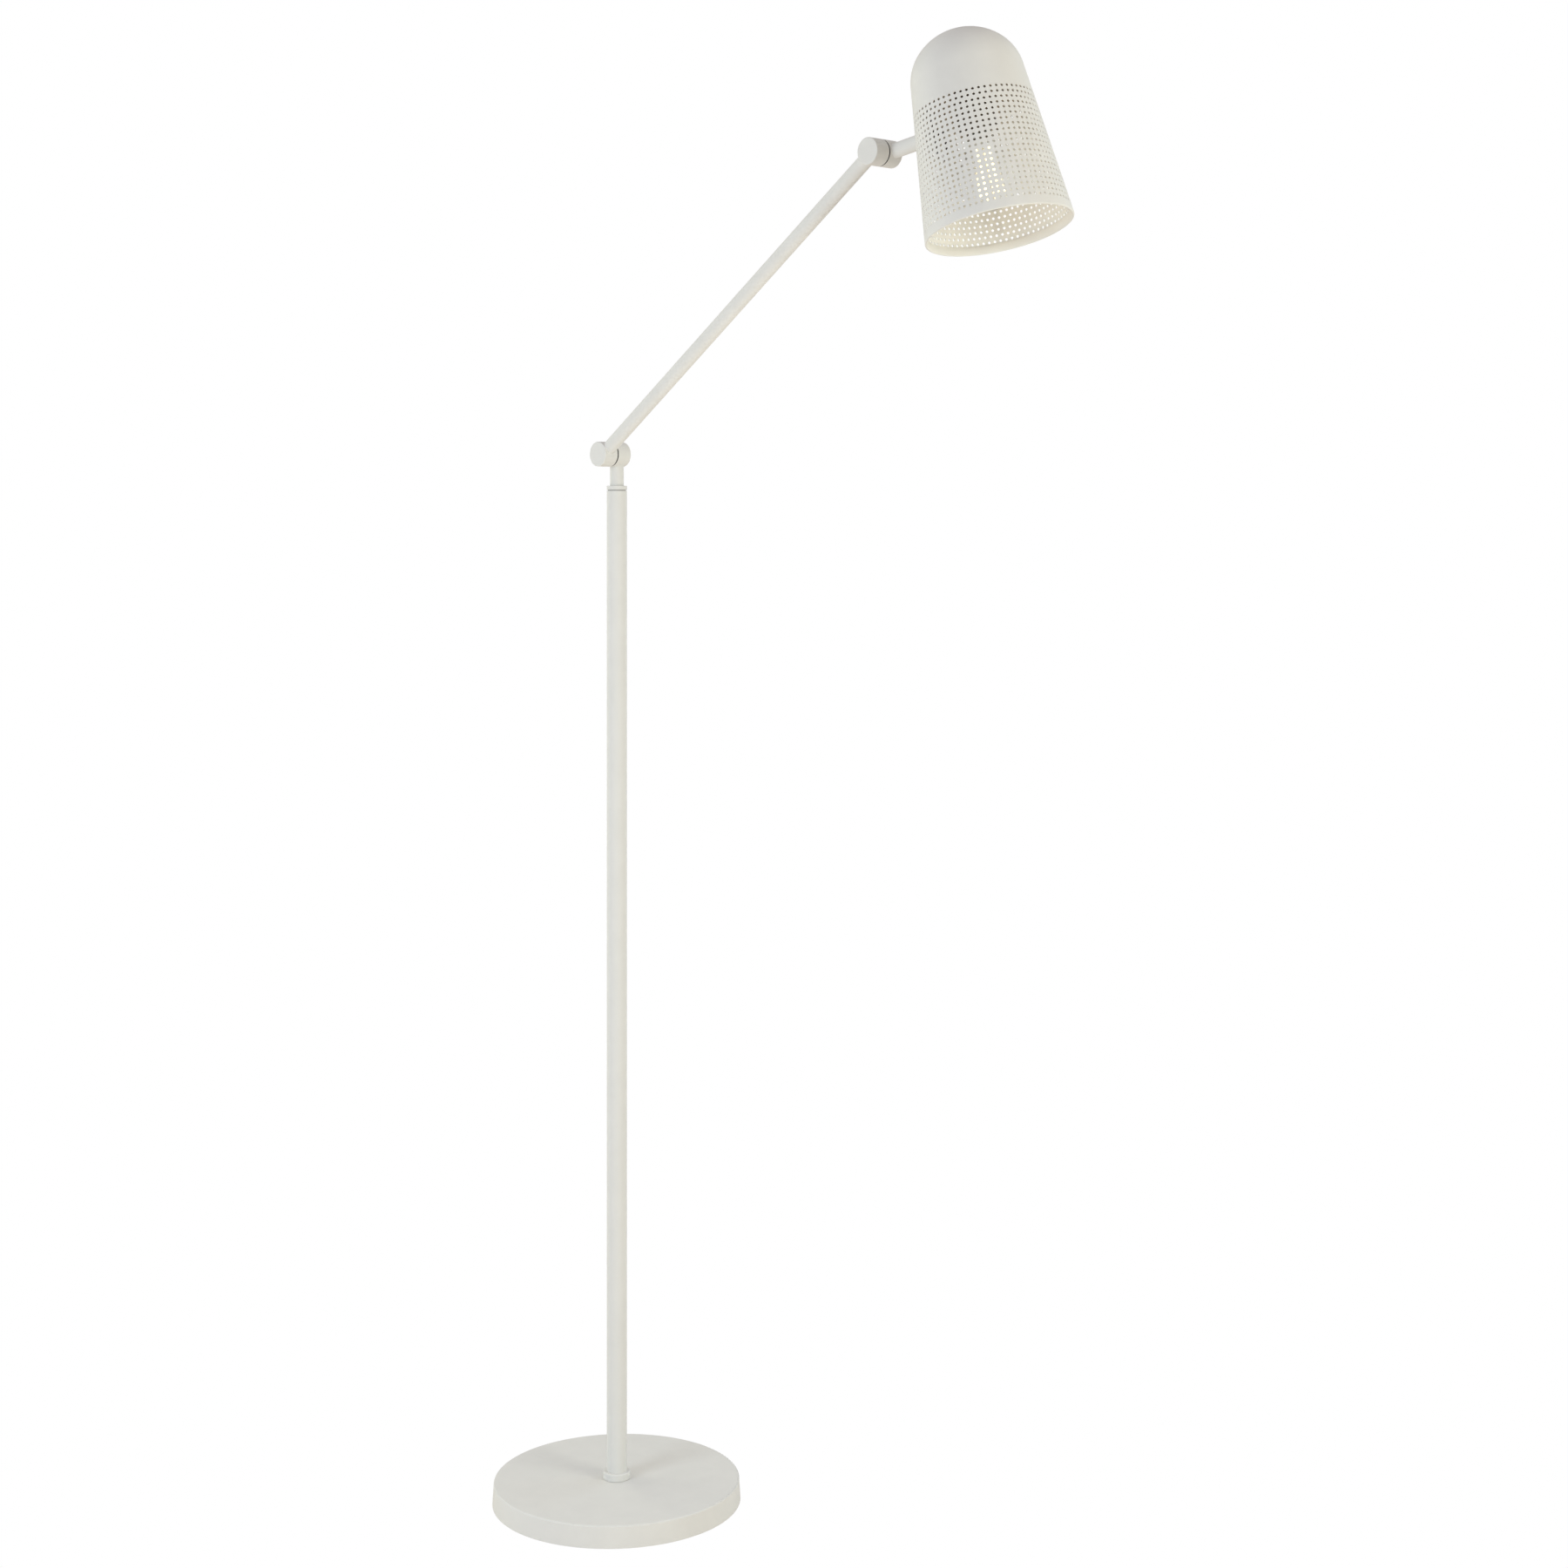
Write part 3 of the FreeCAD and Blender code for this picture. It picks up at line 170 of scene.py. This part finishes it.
class Paint:
    """A Principled material and the node helpers that its recipe uses."""

    def __init__(self, name):
        self.material = bpy.data.materials.new(name)
        self.material.use_nodes = True
        self.nodes = self.material.node_tree.nodes
        self.links = self.material.node_tree.links
        self.shader = self.nodes["Principled BSDF"]
        self.place = self.nodes.new("ShaderNodeTexCoord").outputs["Object"]

    def set(self, **values):
        for name, value in values.items():
            self.shader.inputs[name.replace("_", " ")].default_value = value
        return self

    def noise(self, scale, detail=2.0, roughness=0.5, stretch=None, distortion=0.0):
        """Noise in object space; scale is in features per metre, stretch multiplies each axis."""
        vector = self.place
        if stretch:
            mapping = self.nodes.new("ShaderNodeMapping")
            mapping.inputs["Scale"].default_value = stretch
            self.links.new(vector, mapping.inputs["Vector"])
            vector = mapping.outputs["Vector"]
        node = self.nodes.new("ShaderNodeTexNoise")
        node.inputs["Scale"].default_value = scale
        node.inputs["Detail"].default_value = detail
        node.inputs["Roughness"].default_value = roughness
        node.inputs["Distortion"].default_value = distortion
        self.links.new(vector, node.inputs["Vector"])
        return node.outputs["Fac"]

    def cells(self, scale):
        node = self.nodes.new("ShaderNodeTexVoronoi")
        node.inputs["Scale"].default_value = scale
        self.links.new(self.place, node.inputs["Vector"])
        return node.outputs["Distance"]

    def spread(self, source, low, high, start=0.3, end=0.7):
        """Maps start..end of a texture to low..high."""
        node = self.nodes.new("ShaderNodeMapRange")
        node.inputs["From Min"].default_value = start
        node.inputs["From Max"].default_value = end
        node.inputs["To Min"].default_value = low
        node.inputs["To Max"].default_value = high
        self.links.new(source, node.inputs["Value"])
        return node.outputs["Result"]

    def colours(self, source, stops):
        """Colours the surface by a texture: stops are (position, (r, g, b))."""
        ramp = self.nodes.new("ShaderNodeValToRGB")
        elements = ramp.color_ramp.elements
        while len(elements) < len(stops):
            elements.new(0.5)
        for element, (position, colour) in zip(elements, stops):
            element.position = position
            element.color = (*colour, 1)
        self.links.new(source, ramp.inputs["Fac"])
        self.links.new(ramp.outputs["Color"], self.shader.inputs["Base Color"])
        return ramp.outputs["Color"]

    def blend(self, share, coat, other):
        """Colours the surface with another colour in place of its coat, by a share of 0 to 1."""
        node = self.nodes.new("ShaderNodeMix")
        node.data_type = "RGBA"
        node.inputs["B"].default_value = (*other, 1)
        self.links.new(share, node.inputs["Factor"])
        self.links.new(coat, node.inputs["A"])
        self.links.new(node.outputs["Result"], self.shader.inputs["Base Color"])

    def rough(self, source, low, high):
        self.links.new(self.spread(source, low, high), self.shader.inputs["Roughness"])
        return self

    def bump(self, source, strength, distance, under=None):
        """Relief of distance metres; under is a coarser bump that this one lies on."""
        node = self.nodes.new("ShaderNodeBump")
        node.inputs["Strength"].default_value = strength
        node.inputs["Distance"].default_value = distance
        self.links.new(source, node.inputs["Height"])
        if under:
            self.links.new(under, node.inputs["Normal"])
        self.links.new(node.outputs["Normal"], self.shader.inputs["Normal"])
        return node.outputs["Normal"]


def powder_coat(name, light, dark, painted_shade=None, band=None):
    """Matte powder coat: fine orange peel, a faint mottle and speckled gloss. Where the mesh's
    painted shade attribute rises to 1, the coat gives way to a darker colour painted as shade. A
    band is an axis, a place along it, a half width and the colour of the shade painted there."""
    paint = Paint(name)
    paint.set(Metallic=0.0, Specular_IOR_Level=0.25, Coat_Weight=0.02, Coat_Roughness=0.6)
    coat = paint.colours(paint.noise(38, 4, 0.6), [(0.35, dark), (0.65, light)])
    paint.rough(paint.noise(260, 3), 0.58, 0.70)
    peel = paint.bump(paint.noise(520, 2), 0.22, 0.0001)
    paint.bump(paint.noise(2100, 2, 0.7), 0.3, 0.00004, peel)
    if painted_shade:
        share = paint.nodes.new("ShaderNodeAttribute")
        share.attribute_name = "painted_shade"
        paint.blend(share.outputs["Fac"], coat, painted_shade)
    if band:
        # The colour given here is painted shade, in a gap or a groove.
        axis, middle, half, shade_colour = band
        place = paint.nodes.new("ShaderNodeSeparateXYZ")
        paint.links.new(paint.place, place.inputs["Vector"])
        inside = paint.nodes.new("ShaderNodeMath")
        inside.operation = "COMPARE"
        paint.links.new(place.outputs[axis], inside.inputs[0])
        inside.inputs[1].default_value = middle
        inside.inputs[2].default_value = half
        paint.blend(inside.outputs["Value"], coat, shade_colour)
    return paint.material


def steel(name, colour, tint, low, high, stretch):
    """Drawn and zinc-plated steel: fine lines along one axis and a cloudy plating."""
    paint = Paint(name)
    paint.set(Metallic=1.0)
    paint.colours(paint.noise(90, 4), [(0.35, tint), (0.65, colour)])
    paint.rough(paint.noise(1500, 3, stretch=stretch), low, high)
    paint.bump(paint.noise(2600, 2, stretch=stretch), 0.3, 0.00003)
    return paint.material


def cast_iron():
    paint = Paint("cast_iron")
    paint.set(Metallic=0.6)
    paint.colours(paint.noise(220, 5, 0.65), [(0.3, (0.045, 0.044, 0.043)), (0.7, (0.12, 0.115, 0.11))])
    paint.rough(paint.noise(400, 3), 0.6, 0.85)
    sand = paint.bump(paint.noise(700, 4, 0.7), 0.7, 0.0004)
    paint.bump(paint.cells(1600), 0.4, 0.0001, sand)
    return paint.material


def foam():
    paint = Paint("foam")
    paint.set(Metallic=0.0)
    paint.colours(paint.cells(900), [(0.1, (0.008, 0.008, 0.009)), (0.6, (0.035, 0.035, 0.037))])
    paint.rough(paint.noise(800), 0.85, 0.97)
    paint.bump(paint.cells(900), 0.8, 0.0003)
    return paint.material


def plastic(name, dark, light, low, high, grain, depth):
    """Moulded plastic with a fine spark-eroded grain."""
    paint = Paint(name)
    paint.set(Metallic=0.0)
    paint.colours(paint.noise(60, 4), [(0.3, dark), (0.7, light)])
    paint.rough(paint.noise(300, 3), low, high)
    paint.bump(paint.noise(grain, 3, 0.6), 0.4, depth)
    return paint.material


def brass():
    paint = Paint("brass")
    paint.set(Metallic=1.0)
    paint.colours(paint.noise(160, 5, 0.6), [(0.35, (0.52, 0.34, 0.12)), (0.6, (0.80, 0.58, 0.26))])
    paint.rough(paint.noise(900, 3), 0.22, 0.42)
    paint.bump(paint.noise(1800, 2, stretch=(1, 1, 0.1)), 0.25, 0.00003)
    return paint.material


def clear_glass(name, smear):
    """Clear glass with faint smears, which show only as a change of gloss."""
    paint = Paint(name)
    paint.set(Metallic=0.0, Transmission_Weight=1.0, IOR=1.46)
    paint.colours(paint.noise(30, 2), [(0.3, (0.96, 0.98, 0.98)), (0.7, (1.0, 1.0, 1.0))])
    paint.rough(paint.noise(45, 4, 0.6), smear / 2, smear)
    paint.bump(paint.noise(70, 1), 0.05, 0.0002)
    return paint.material


def phosphor():
    """Yellow silicone over a row of lit chips, brighter at each chip."""
    paint = Paint("phosphor")
    paint.set(Metallic=0.0, Roughness=0.5)
    glow = paint.colours(paint.cells(700), [(0.0, (1.0, 0.94, 0.66)), (1.0, (1.0, 0.82, 0.44))])
    paint.links.new(glow, paint.shader.inputs["Emission Color"])
    beads = paint.spread(paint.cells(700), 2.4, 1.2, 0.1, 0.8)
    paint.links.new(beads, paint.shader.inputs["Emission Strength"])
    paint.bump(paint.cells(700), 0.3, 0.0001)
    return paint.material


def floor_paper():
    """Plain pale studio paper, which only throws light back up at the lamp."""
    paint = Paint("floor_paper")
    paint.set(Roughness=0.9, Emission_Color=(1.0, 0.71, 0.41, 1), Emission_Strength=0.22)
    paint.colours(paint.noise(14, 3), [(0.3, (0.60, 0.60, 0.60)), (0.7, (0.62, 0.62, 0.62))])
    return paint.material


COAT = ((0.745, 0.735, 0.700), (0.725, 0.716, 0.682))
SHADE_COAT = ((0.750, 0.738, 0.700), (0.730, 0.719, 0.682))

# Painted shade: the hubs of a hinge face each other across the middle of the first stripe, which is
# # painted dark; the second stripe is the groove under the ring on the pole's top, painted grey.
HUB_GAP_SHADE = ("Y", -0.0094, 0.00068, (0.03, 0.03, 0.028))
CAP_GROOVE_SHADE = ("Z", 1.1043, 0.00052, (0.42, 0.41, 0.39))

MATERIALS = {
    "powder_coat": powder_coat("powder_coat", *COAT),
    # Painted shade: a dark stripe where the two hubs of each hinge meet.
    "hub_gap_shade_coat": powder_coat("hub_gap_shade_coat", *COAT, band=HUB_GAP_SHADE),
    # Painted shade: a grey stripe in the groove under the ring on the pole's top.
    "cap_groove_shade_coat": powder_coat("cap_groove_shade_coat", *COAT, band=CAP_GROOVE_SHADE),
    # Painted shade: the inner face of the shade's top is darkened to this colour.
    "shade_coat": powder_coat("shade_coat", *SHADE_COAT, painted_shade=(0.44, 0.375, 0.30)),
    "cast_iron": cast_iron(),
    "zinc_steel": steel("zinc_steel", (0.66, 0.67, 0.68), (0.58, 0.58, 0.56), 0.24, 0.42, (1, 1, 0.12)),
    "foam": foam(),
    "black_nylon": plastic(
        "black_nylon", (0.012, 0.012, 0.013), (0.022, 0.022, 0.023), 0.45, 0.6, 900, 0.0001
    ),
    "acetal": plastic("acetal", (0.76, 0.75, 0.72), (0.82, 0.81, 0.79), 0.3, 0.42, 700, 0.00004),
    "phenolic": plastic("phenolic", (0.085, 0.070, 0.056), (0.125, 0.104, 0.084), 0.3, 0.44, 500, 0.00004),
    "brass": brass(),
    "cap_metal": steel("cap_metal", (0.78, 0.74, 0.66), (0.68, 0.63, 0.54), 0.2, 0.36, (1, 1, 0.3)),
    "black_glass": plastic(
        "black_glass", (0.008, 0.008, 0.010), (0.016, 0.016, 0.020), 0.05, 0.14, 200, 0.00003
    ),
    "clear_glass": clear_glass("clear_glass", 0.16),
    "phosphor": phosphor(),
    "lead_jacket": plastic(
        "lead_jacket", (0.010, 0.010, 0.011), (0.020, 0.020, 0.021), 0.35, 0.5, 800, 0.00006
    ),
}


def give(piece, slot):
    """Replaces whatever the piece's mesh holds with one material."""
    piece.data.materials.clear()
    piece.data.materials.append(MATERIALS[slot])


for subpart in frame["record"]["subparts"]:
    give(frame["nodes"][subpart["node"]], subpart["material_slot"])
# The hubs and the pole's cap take coats with painted shade in their gap and groove.
for hub in ("elbow_rear_hub", "elbow_front_hub", "wrist_rear_hub", "wrist_front_hub"):
    give(frame["nodes"][hub], "hub_gap_shade_coat")
give(frame["nodes"]["pole_cap"], "cap_groove_shade_coat")

# ---------------------------------------------------------------------------------------------
# Mesh helpers


def finished(name, mesh_maker, slot, body):
    """Turns a bmesh into a smooth-shaded object that rides on a body."""
    bmesh.ops.recalc_face_normals(mesh_maker, faces=mesh_maker.faces)
    for face in mesh_maker.faces:
        face.smooth = True
    mesh = bpy.data.meshes.new(name)
    mesh_maker.to_mesh(mesh)
    mesh_maker.free()
    piece = bpy.data.objects.new(name, mesh)
    scene.collection.objects.link(piece)
    give(piece, slot)
    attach(piece, body)
    return piece


def zip_loops(maker, first, second):
    """Fills the strip between two closed loops of (angle, vertex), each sorted by its angle."""
    turn = 2 * math.pi

    def angle(loop, index):
        return loop[index % len(loop)][0] + turn * (index // len(loop))

    def vertex(loop, index):
        return loop[index % len(loop)][1]

    i = 0
    j = 0
    while i < len(first) or j < len(second):
        step_first = i < len(first) and (j == len(second) or angle(first, i + 1) <= angle(second, j + 1))
        if step_first:
            maker.faces.new((vertex(first, i), vertex(first, i + 1), vertex(second, j)))
            i += 1
        else:
            maker.faces.new((vertex(first, i), vertex(second, j + 1), vertex(second, j)))
            j += 1


def bridge(maker, first, second):
    """Quads between two loops with the same number of vertices."""
    count = len(first)
    for k in range(count):
        after = (k + 1) % count
        maker.faces.new((first[k], first[after], second[after], second[k]))


def crease(maker, loop):
    """Makes a closed loop's edges sharp, so that the shading breaks there."""
    for k, vertex in enumerate(loop):
        maker.edges.get((vertex, loop[(k + 1) % len(loop)])).smooth = False


# ---------------------------------------------------------------------------------------------
# Shade: one closed mesh, with real holes through the wall

ROWS = 21
TOP_ROW = 122.1
ROW_PITCH = 5.58
HOLE_PITCH = 5.7
HOLE_RADIUS = 1.3
HOLE_EDGE = 0.12
HOLE_SIDES = 14
ROW_PHASE = math.radians(-46.5)
TOP_ROW_PHASE = math.radians(-49.4)
TOP_ROWS = 2
ROUND_SIDES = 168
CONE_STEPS = 8
SHOULDER_STEPS = 30
CROWN_STEPS = 12
EDGE_STEPS = 10
TURN_DIGITS = 7
TURN_SLACK = 1e-5


def wall_radius(level):
    return MOUTH_RADIUS - level * math.tan(CONE_ANGLE)


def put(maker, turn, radius, up, depth):
    """Adds a vertex. Those of the inner face carry how much of the coat gives way to painted shade."""
    vertex = maker.verts.new(in_shade(radius * math.cos(turn), radius * math.sin(turn), up))
    if depth == WALL:
        share = (up - PAINTED_SHADE_LOW) / (PAINTED_SHADE_HIGH - PAINTED_SHADE_LOW)
        vertex[maker.verts.layers.float["painted_shade"]] = min(max(share, 0.0), 1.0)
    return vertex


def put_on_wall(maker, turn, level, depth):
    """Adds a vertex of the cone's wall, depth millimetres inside its outer face."""
    radius = wall_radius(level) - depth * math.cos(CONE_ANGLE)
    return put(maker, turn, radius, level - depth * math.sin(CONE_ANGLE), depth)


def row_level(row):
    return TOP_ROW - row * ROW_PITCH


def row_count(row):
    return round(2 * math.pi * wall_radius(row_level(row)) / HOLE_PITCH)


def row_phase(row):
    return TOP_ROW_PHASE if row < TOP_ROWS else ROW_PHASE


def is_seat(turn, level):
    """True where the rod's tube stands on the wall, which has no holes."""
    across = (turn - math.pi) * wall_radius(level)
    return math.hypot(across, level - ROD_LEVEL) < SEAT_RADIUS


def wrapped(turn):
    return turn % (2 * math.pi)


def border_turns(border):
    """Where the cells of the rows above and below a border meet it."""
    turns = set()
    for row in (border - 1, border):
        if 0 <= row < ROWS:
            count = row_count(row)
            for k in range(count):
                turn = wrapped(row_phase(row) + (k + 0.5) * 2 * math.pi / count)
                turns.add(round(turn, TURN_DIGITS))
    return sorted(turns)


def border_loop(maker, border, depth):
    level = TOP_ROW - (border - 0.5) * ROW_PITCH
    return [(turn, put_on_wall(maker, turn, level, depth)) for turn in border_turns(border)]


def cell_outline(upper, lower, middle, half, level):
    """The border vertices round one hole, sorted by their direction from it."""
    found = []
    for loop, rise in ((upper, ROW_PITCH / 2), (lower, -ROW_PITCH / 2)):
        for turn, vertex in loop:
            off = wrapped(turn - middle + math.pi) - math.pi
            if abs(off) < half + TURN_SLACK:
                found.append((math.atan2(rise, off * wall_radius(level)), vertex))
    return sorted(found, key=lambda item: item[0])


def hole_loop(maker, middle, level, radius, depth):
    loop = []
    for k in range(HOLE_SIDES):
        around = -math.pi + 2 * math.pi * k / HOLE_SIDES
        turn = middle + radius * math.cos(around) / wall_radius(level)
        loop.append((around, put_on_wall(maker, turn, level + radius * math.sin(around), depth)))
    return loop


def plain_cell(maker, outline, middle, level, depth):
    centre = put_on_wall(maker, middle, level, depth)
    for k, (_, vertex) in enumerate(outline):
        maker.faces.new((vertex, outline[(k + 1) % len(outline)][1], centre))


def perforated_band(maker):
    """The cone's holed part. Returns its top and bottom loops, outside and inside."""
    outside = [border_loop(maker, border, 0) for border in range(ROWS + 1)]
    inside = [border_loop(maker, border, WALL) for border in range(ROWS + 1)]
    for row in range(ROWS):
        count = row_count(row)
        level = row_level(row)
        half = math.pi / count
        for k in range(count):
            middle = wrapped(row_phase(row) + 2 * half * k)
            outer_cell = cell_outline(outside[row], outside[row + 1], middle, half, level)
            inner_cell = cell_outline(inside[row], inside[row + 1], middle, half, level)
            if is_seat(middle, level):
                plain_cell(maker, outer_cell, middle, level, 0)
                plain_cell(maker, inner_cell, middle, level, WALL)
                continue
            rim = hole_loop(maker, middle, level, HOLE_RADIUS + HOLE_EDGE, 0)
            throat = hole_loop(maker, middle, level, HOLE_RADIUS, HOLE_EDGE)
            back = hole_loop(maker, middle, level, HOLE_RADIUS, WALL)
            zip_loops(maker, outer_cell, rim)
            zip_loops(maker, inner_cell, back)
            rim, throat, back = ([vertex for _, vertex in loop] for loop in (rim, throat, back))
            bridge(maker, rim, throat)
            bridge(maker, throat, back)
            crease(maker, rim)
            crease(maker, back)
    return outside[0], outside[-1], inside[0], inside[-1]


def round_loop(maker, radius, up, depth=0):
    """A regular loop of (angle, vertex) about the shade's axis."""
    turns = [2 * math.pi * k / ROUND_SIDES for k in range(ROUND_SIDES)]
    return [(turn, put(maker, turn, radius, up, depth)) for turn in turns]


def vertices(loop):
    return [vertex for _, vertex in loop]


def dome_outline(depth):
    """Radius and height along the dome: the plain cone, the shoulder arc and the crown arc."""
    small = SHOULDER_RADIUS - depth
    shoulder_up = CONE_HEIGHT - SHOULDER_RADIUS * math.sin(CONE_ANGLE)
    shoulder_out = wall_radius(CONE_HEIGHT) - SHOULDER_RADIUS * math.cos(CONE_ANGLE)
    drop = SHADE_HEIGHT - shoulder_up
    crown = (shoulder_out ** 2 + drop ** 2 - SHOULDER_RADIUS ** 2) / (2 * (drop - SHOULDER_RADIUS))
    away = math.atan2(shoulder_out, shoulder_up - (SHADE_HEIGHT - crown))
    cone_top = TOP_ROW + ROW_PITCH / 2
    points = []
    for k in range(1, CONE_STEPS):
        level = cone_top + (CONE_HEIGHT - cone_top) * k / CONE_STEPS
        radius = wall_radius(level) - depth * math.cos(CONE_ANGLE)
        points.append((radius, level - depth * math.sin(CONE_ANGLE)))
    for k in range(SHOULDER_STEPS + 1):
        rise = CONE_ANGLE + (math.pi / 2 - away - CONE_ANGLE) * k / SHOULDER_STEPS
        points.append((shoulder_out + small * math.cos(rise), shoulder_up + small * math.sin(rise)))
    large = crown - depth
    for k in range(1, CROWN_STEPS):
        lean = away * (1 - k / CROWN_STEPS)
        points.append((large * math.sin(lean), SHADE_HEIGHT - crown + large * math.cos(lean)))
    return points, SHADE_HEIGHT - depth


def dome(maker, border, depth):
    """Closes the band's top with the plain cone and the dome, to one vertex on the axis."""
    points, peak = dome_outline(depth)
    loops = [round_loop(maker, radius, up, depth) for radius, up in points]
    zip_loops(maker, border, loops[0])
    for low, high in zip(loops, loops[1:]):
        bridge(maker, vertices(low), vertices(high))
    top = put(maker, 0, 0, peak, depth)
    last = vertices(loops[-1])
    for k, vertex in enumerate(last):
        maker.faces.new((vertex, last[(k + 1) % len(last)], top))


def hem(maker, outer_border, inner_border):
    """The wall turned in and up round the mouth, with a half-round edge and a gap behind it."""
    along = Vector((-math.sin(CONE_ANGLE), math.cos(CONE_ANGLE)))
    inward = Vector((-math.cos(CONE_ANGLE), -math.sin(CONE_ANGLE)))
    fold = HEM_DEPTH / 2
    edge_out = Vector((MOUTH_RADIUS, 0)) + along * fold
    centre = edge_out + inward * fold
    points = [edge_out]
    for k in range(1, EDGE_STEPS + 1):
        turn = math.pi * k / EDGE_STEPS
        points.append(centre - inward * (fold * math.cos(turn)) - along * (fold * math.sin(turn)))
    edge_in = points[-1]
    lip = HEM_SHEET / 2
    gap_low = HEM_HEIGHT - HEM_GAP_DEPTH
    points.append(edge_in + along * (HEM_HEIGHT - lip))
    points.append(edge_in + along * HEM_HEIGHT - inward * lip)
    points.append(edge_in + along * (HEM_HEIGHT - lip) - inward * HEM_SHEET)
    points.append(edge_in + along * gap_low - inward * HEM_SHEET)
    points.append(edge_in + along * gap_low - inward * (HEM_DEPTH - WALL))
    loops = [round_loop(maker, point.x, point.y) for point in points]
    zip_loops(maker, outer_border, loops[0])
    for low, high in zip(loops, loops[1:]):
        bridge(maker, vertices(low), vertices(high))
    zip_loops(maker, inner_border, loops[-1])
    crease(maker, vertices(loops[-1]))
    crease(maker, vertices(loops[-2]))


def perforated_shade():
    maker = bmesh.new()
    # This attribute carries the painted shade on the upper inner face.
    maker.verts.layers.float.new("painted_shade")
    top_out, low_out, top_in, low_in = perforated_band(maker)
    dome(maker, top_out, 0)
    dome(maker, top_in, WALL)
    hem(maker, low_out, low_in)
    shade = finished("perforated_shade", maker, "shade_coat", "head")
    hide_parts("shade_shell")


perforated_shade()

# ---------------------------------------------------------------------------------------------
# The lit bulb. A hidden light in its middle throws its glow, and the bulb's own parts don't shade it.

GLOW_LEVEL = 58.0
GLOW_RADIUS = 0.028
GLOW_POWER = 0.082
GLOW_COLOUR = (1.0, 0.86, 0.65)

for node in ("bulb_glass", "bulb_mount", "bulb_filaments"):
    frame["nodes"][node].visible_shadow = False
frame["nodes"]["bulb_filaments"].visible_diffuse = False

glow_data = bpy.data.lights.new("bulb_glow", "POINT")
glow_data.energy = GLOW_POWER
glow_data.color = GLOW_COLOUR
glow_data.shadow_soft_size = GLOW_RADIUS
glow = bpy.data.objects.new("bulb_glow", glow_data)
scene.collection.objects.link(glow)
glow.location = in_shade(0, 0, GLOW_LEVEL)
glow.visible_glossy = False
glow.visible_transmission = False
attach(glow, "head")

# ---------------------------------------------------------------------------------------------
# Floor, a hair below the base so that the two don't share a plane

FLOOR_SIZE = 60.0
FLOOR_DROP = 0.0005

bpy.ops.mesh.primitive_plane_add(size=FLOOR_SIZE, location=(0, 0, -FLOOR_DROP))
floor = bpy.context.object
floor.name = "floor"
floor.data.materials.append(floor_paper())
floor.visible_camera = False
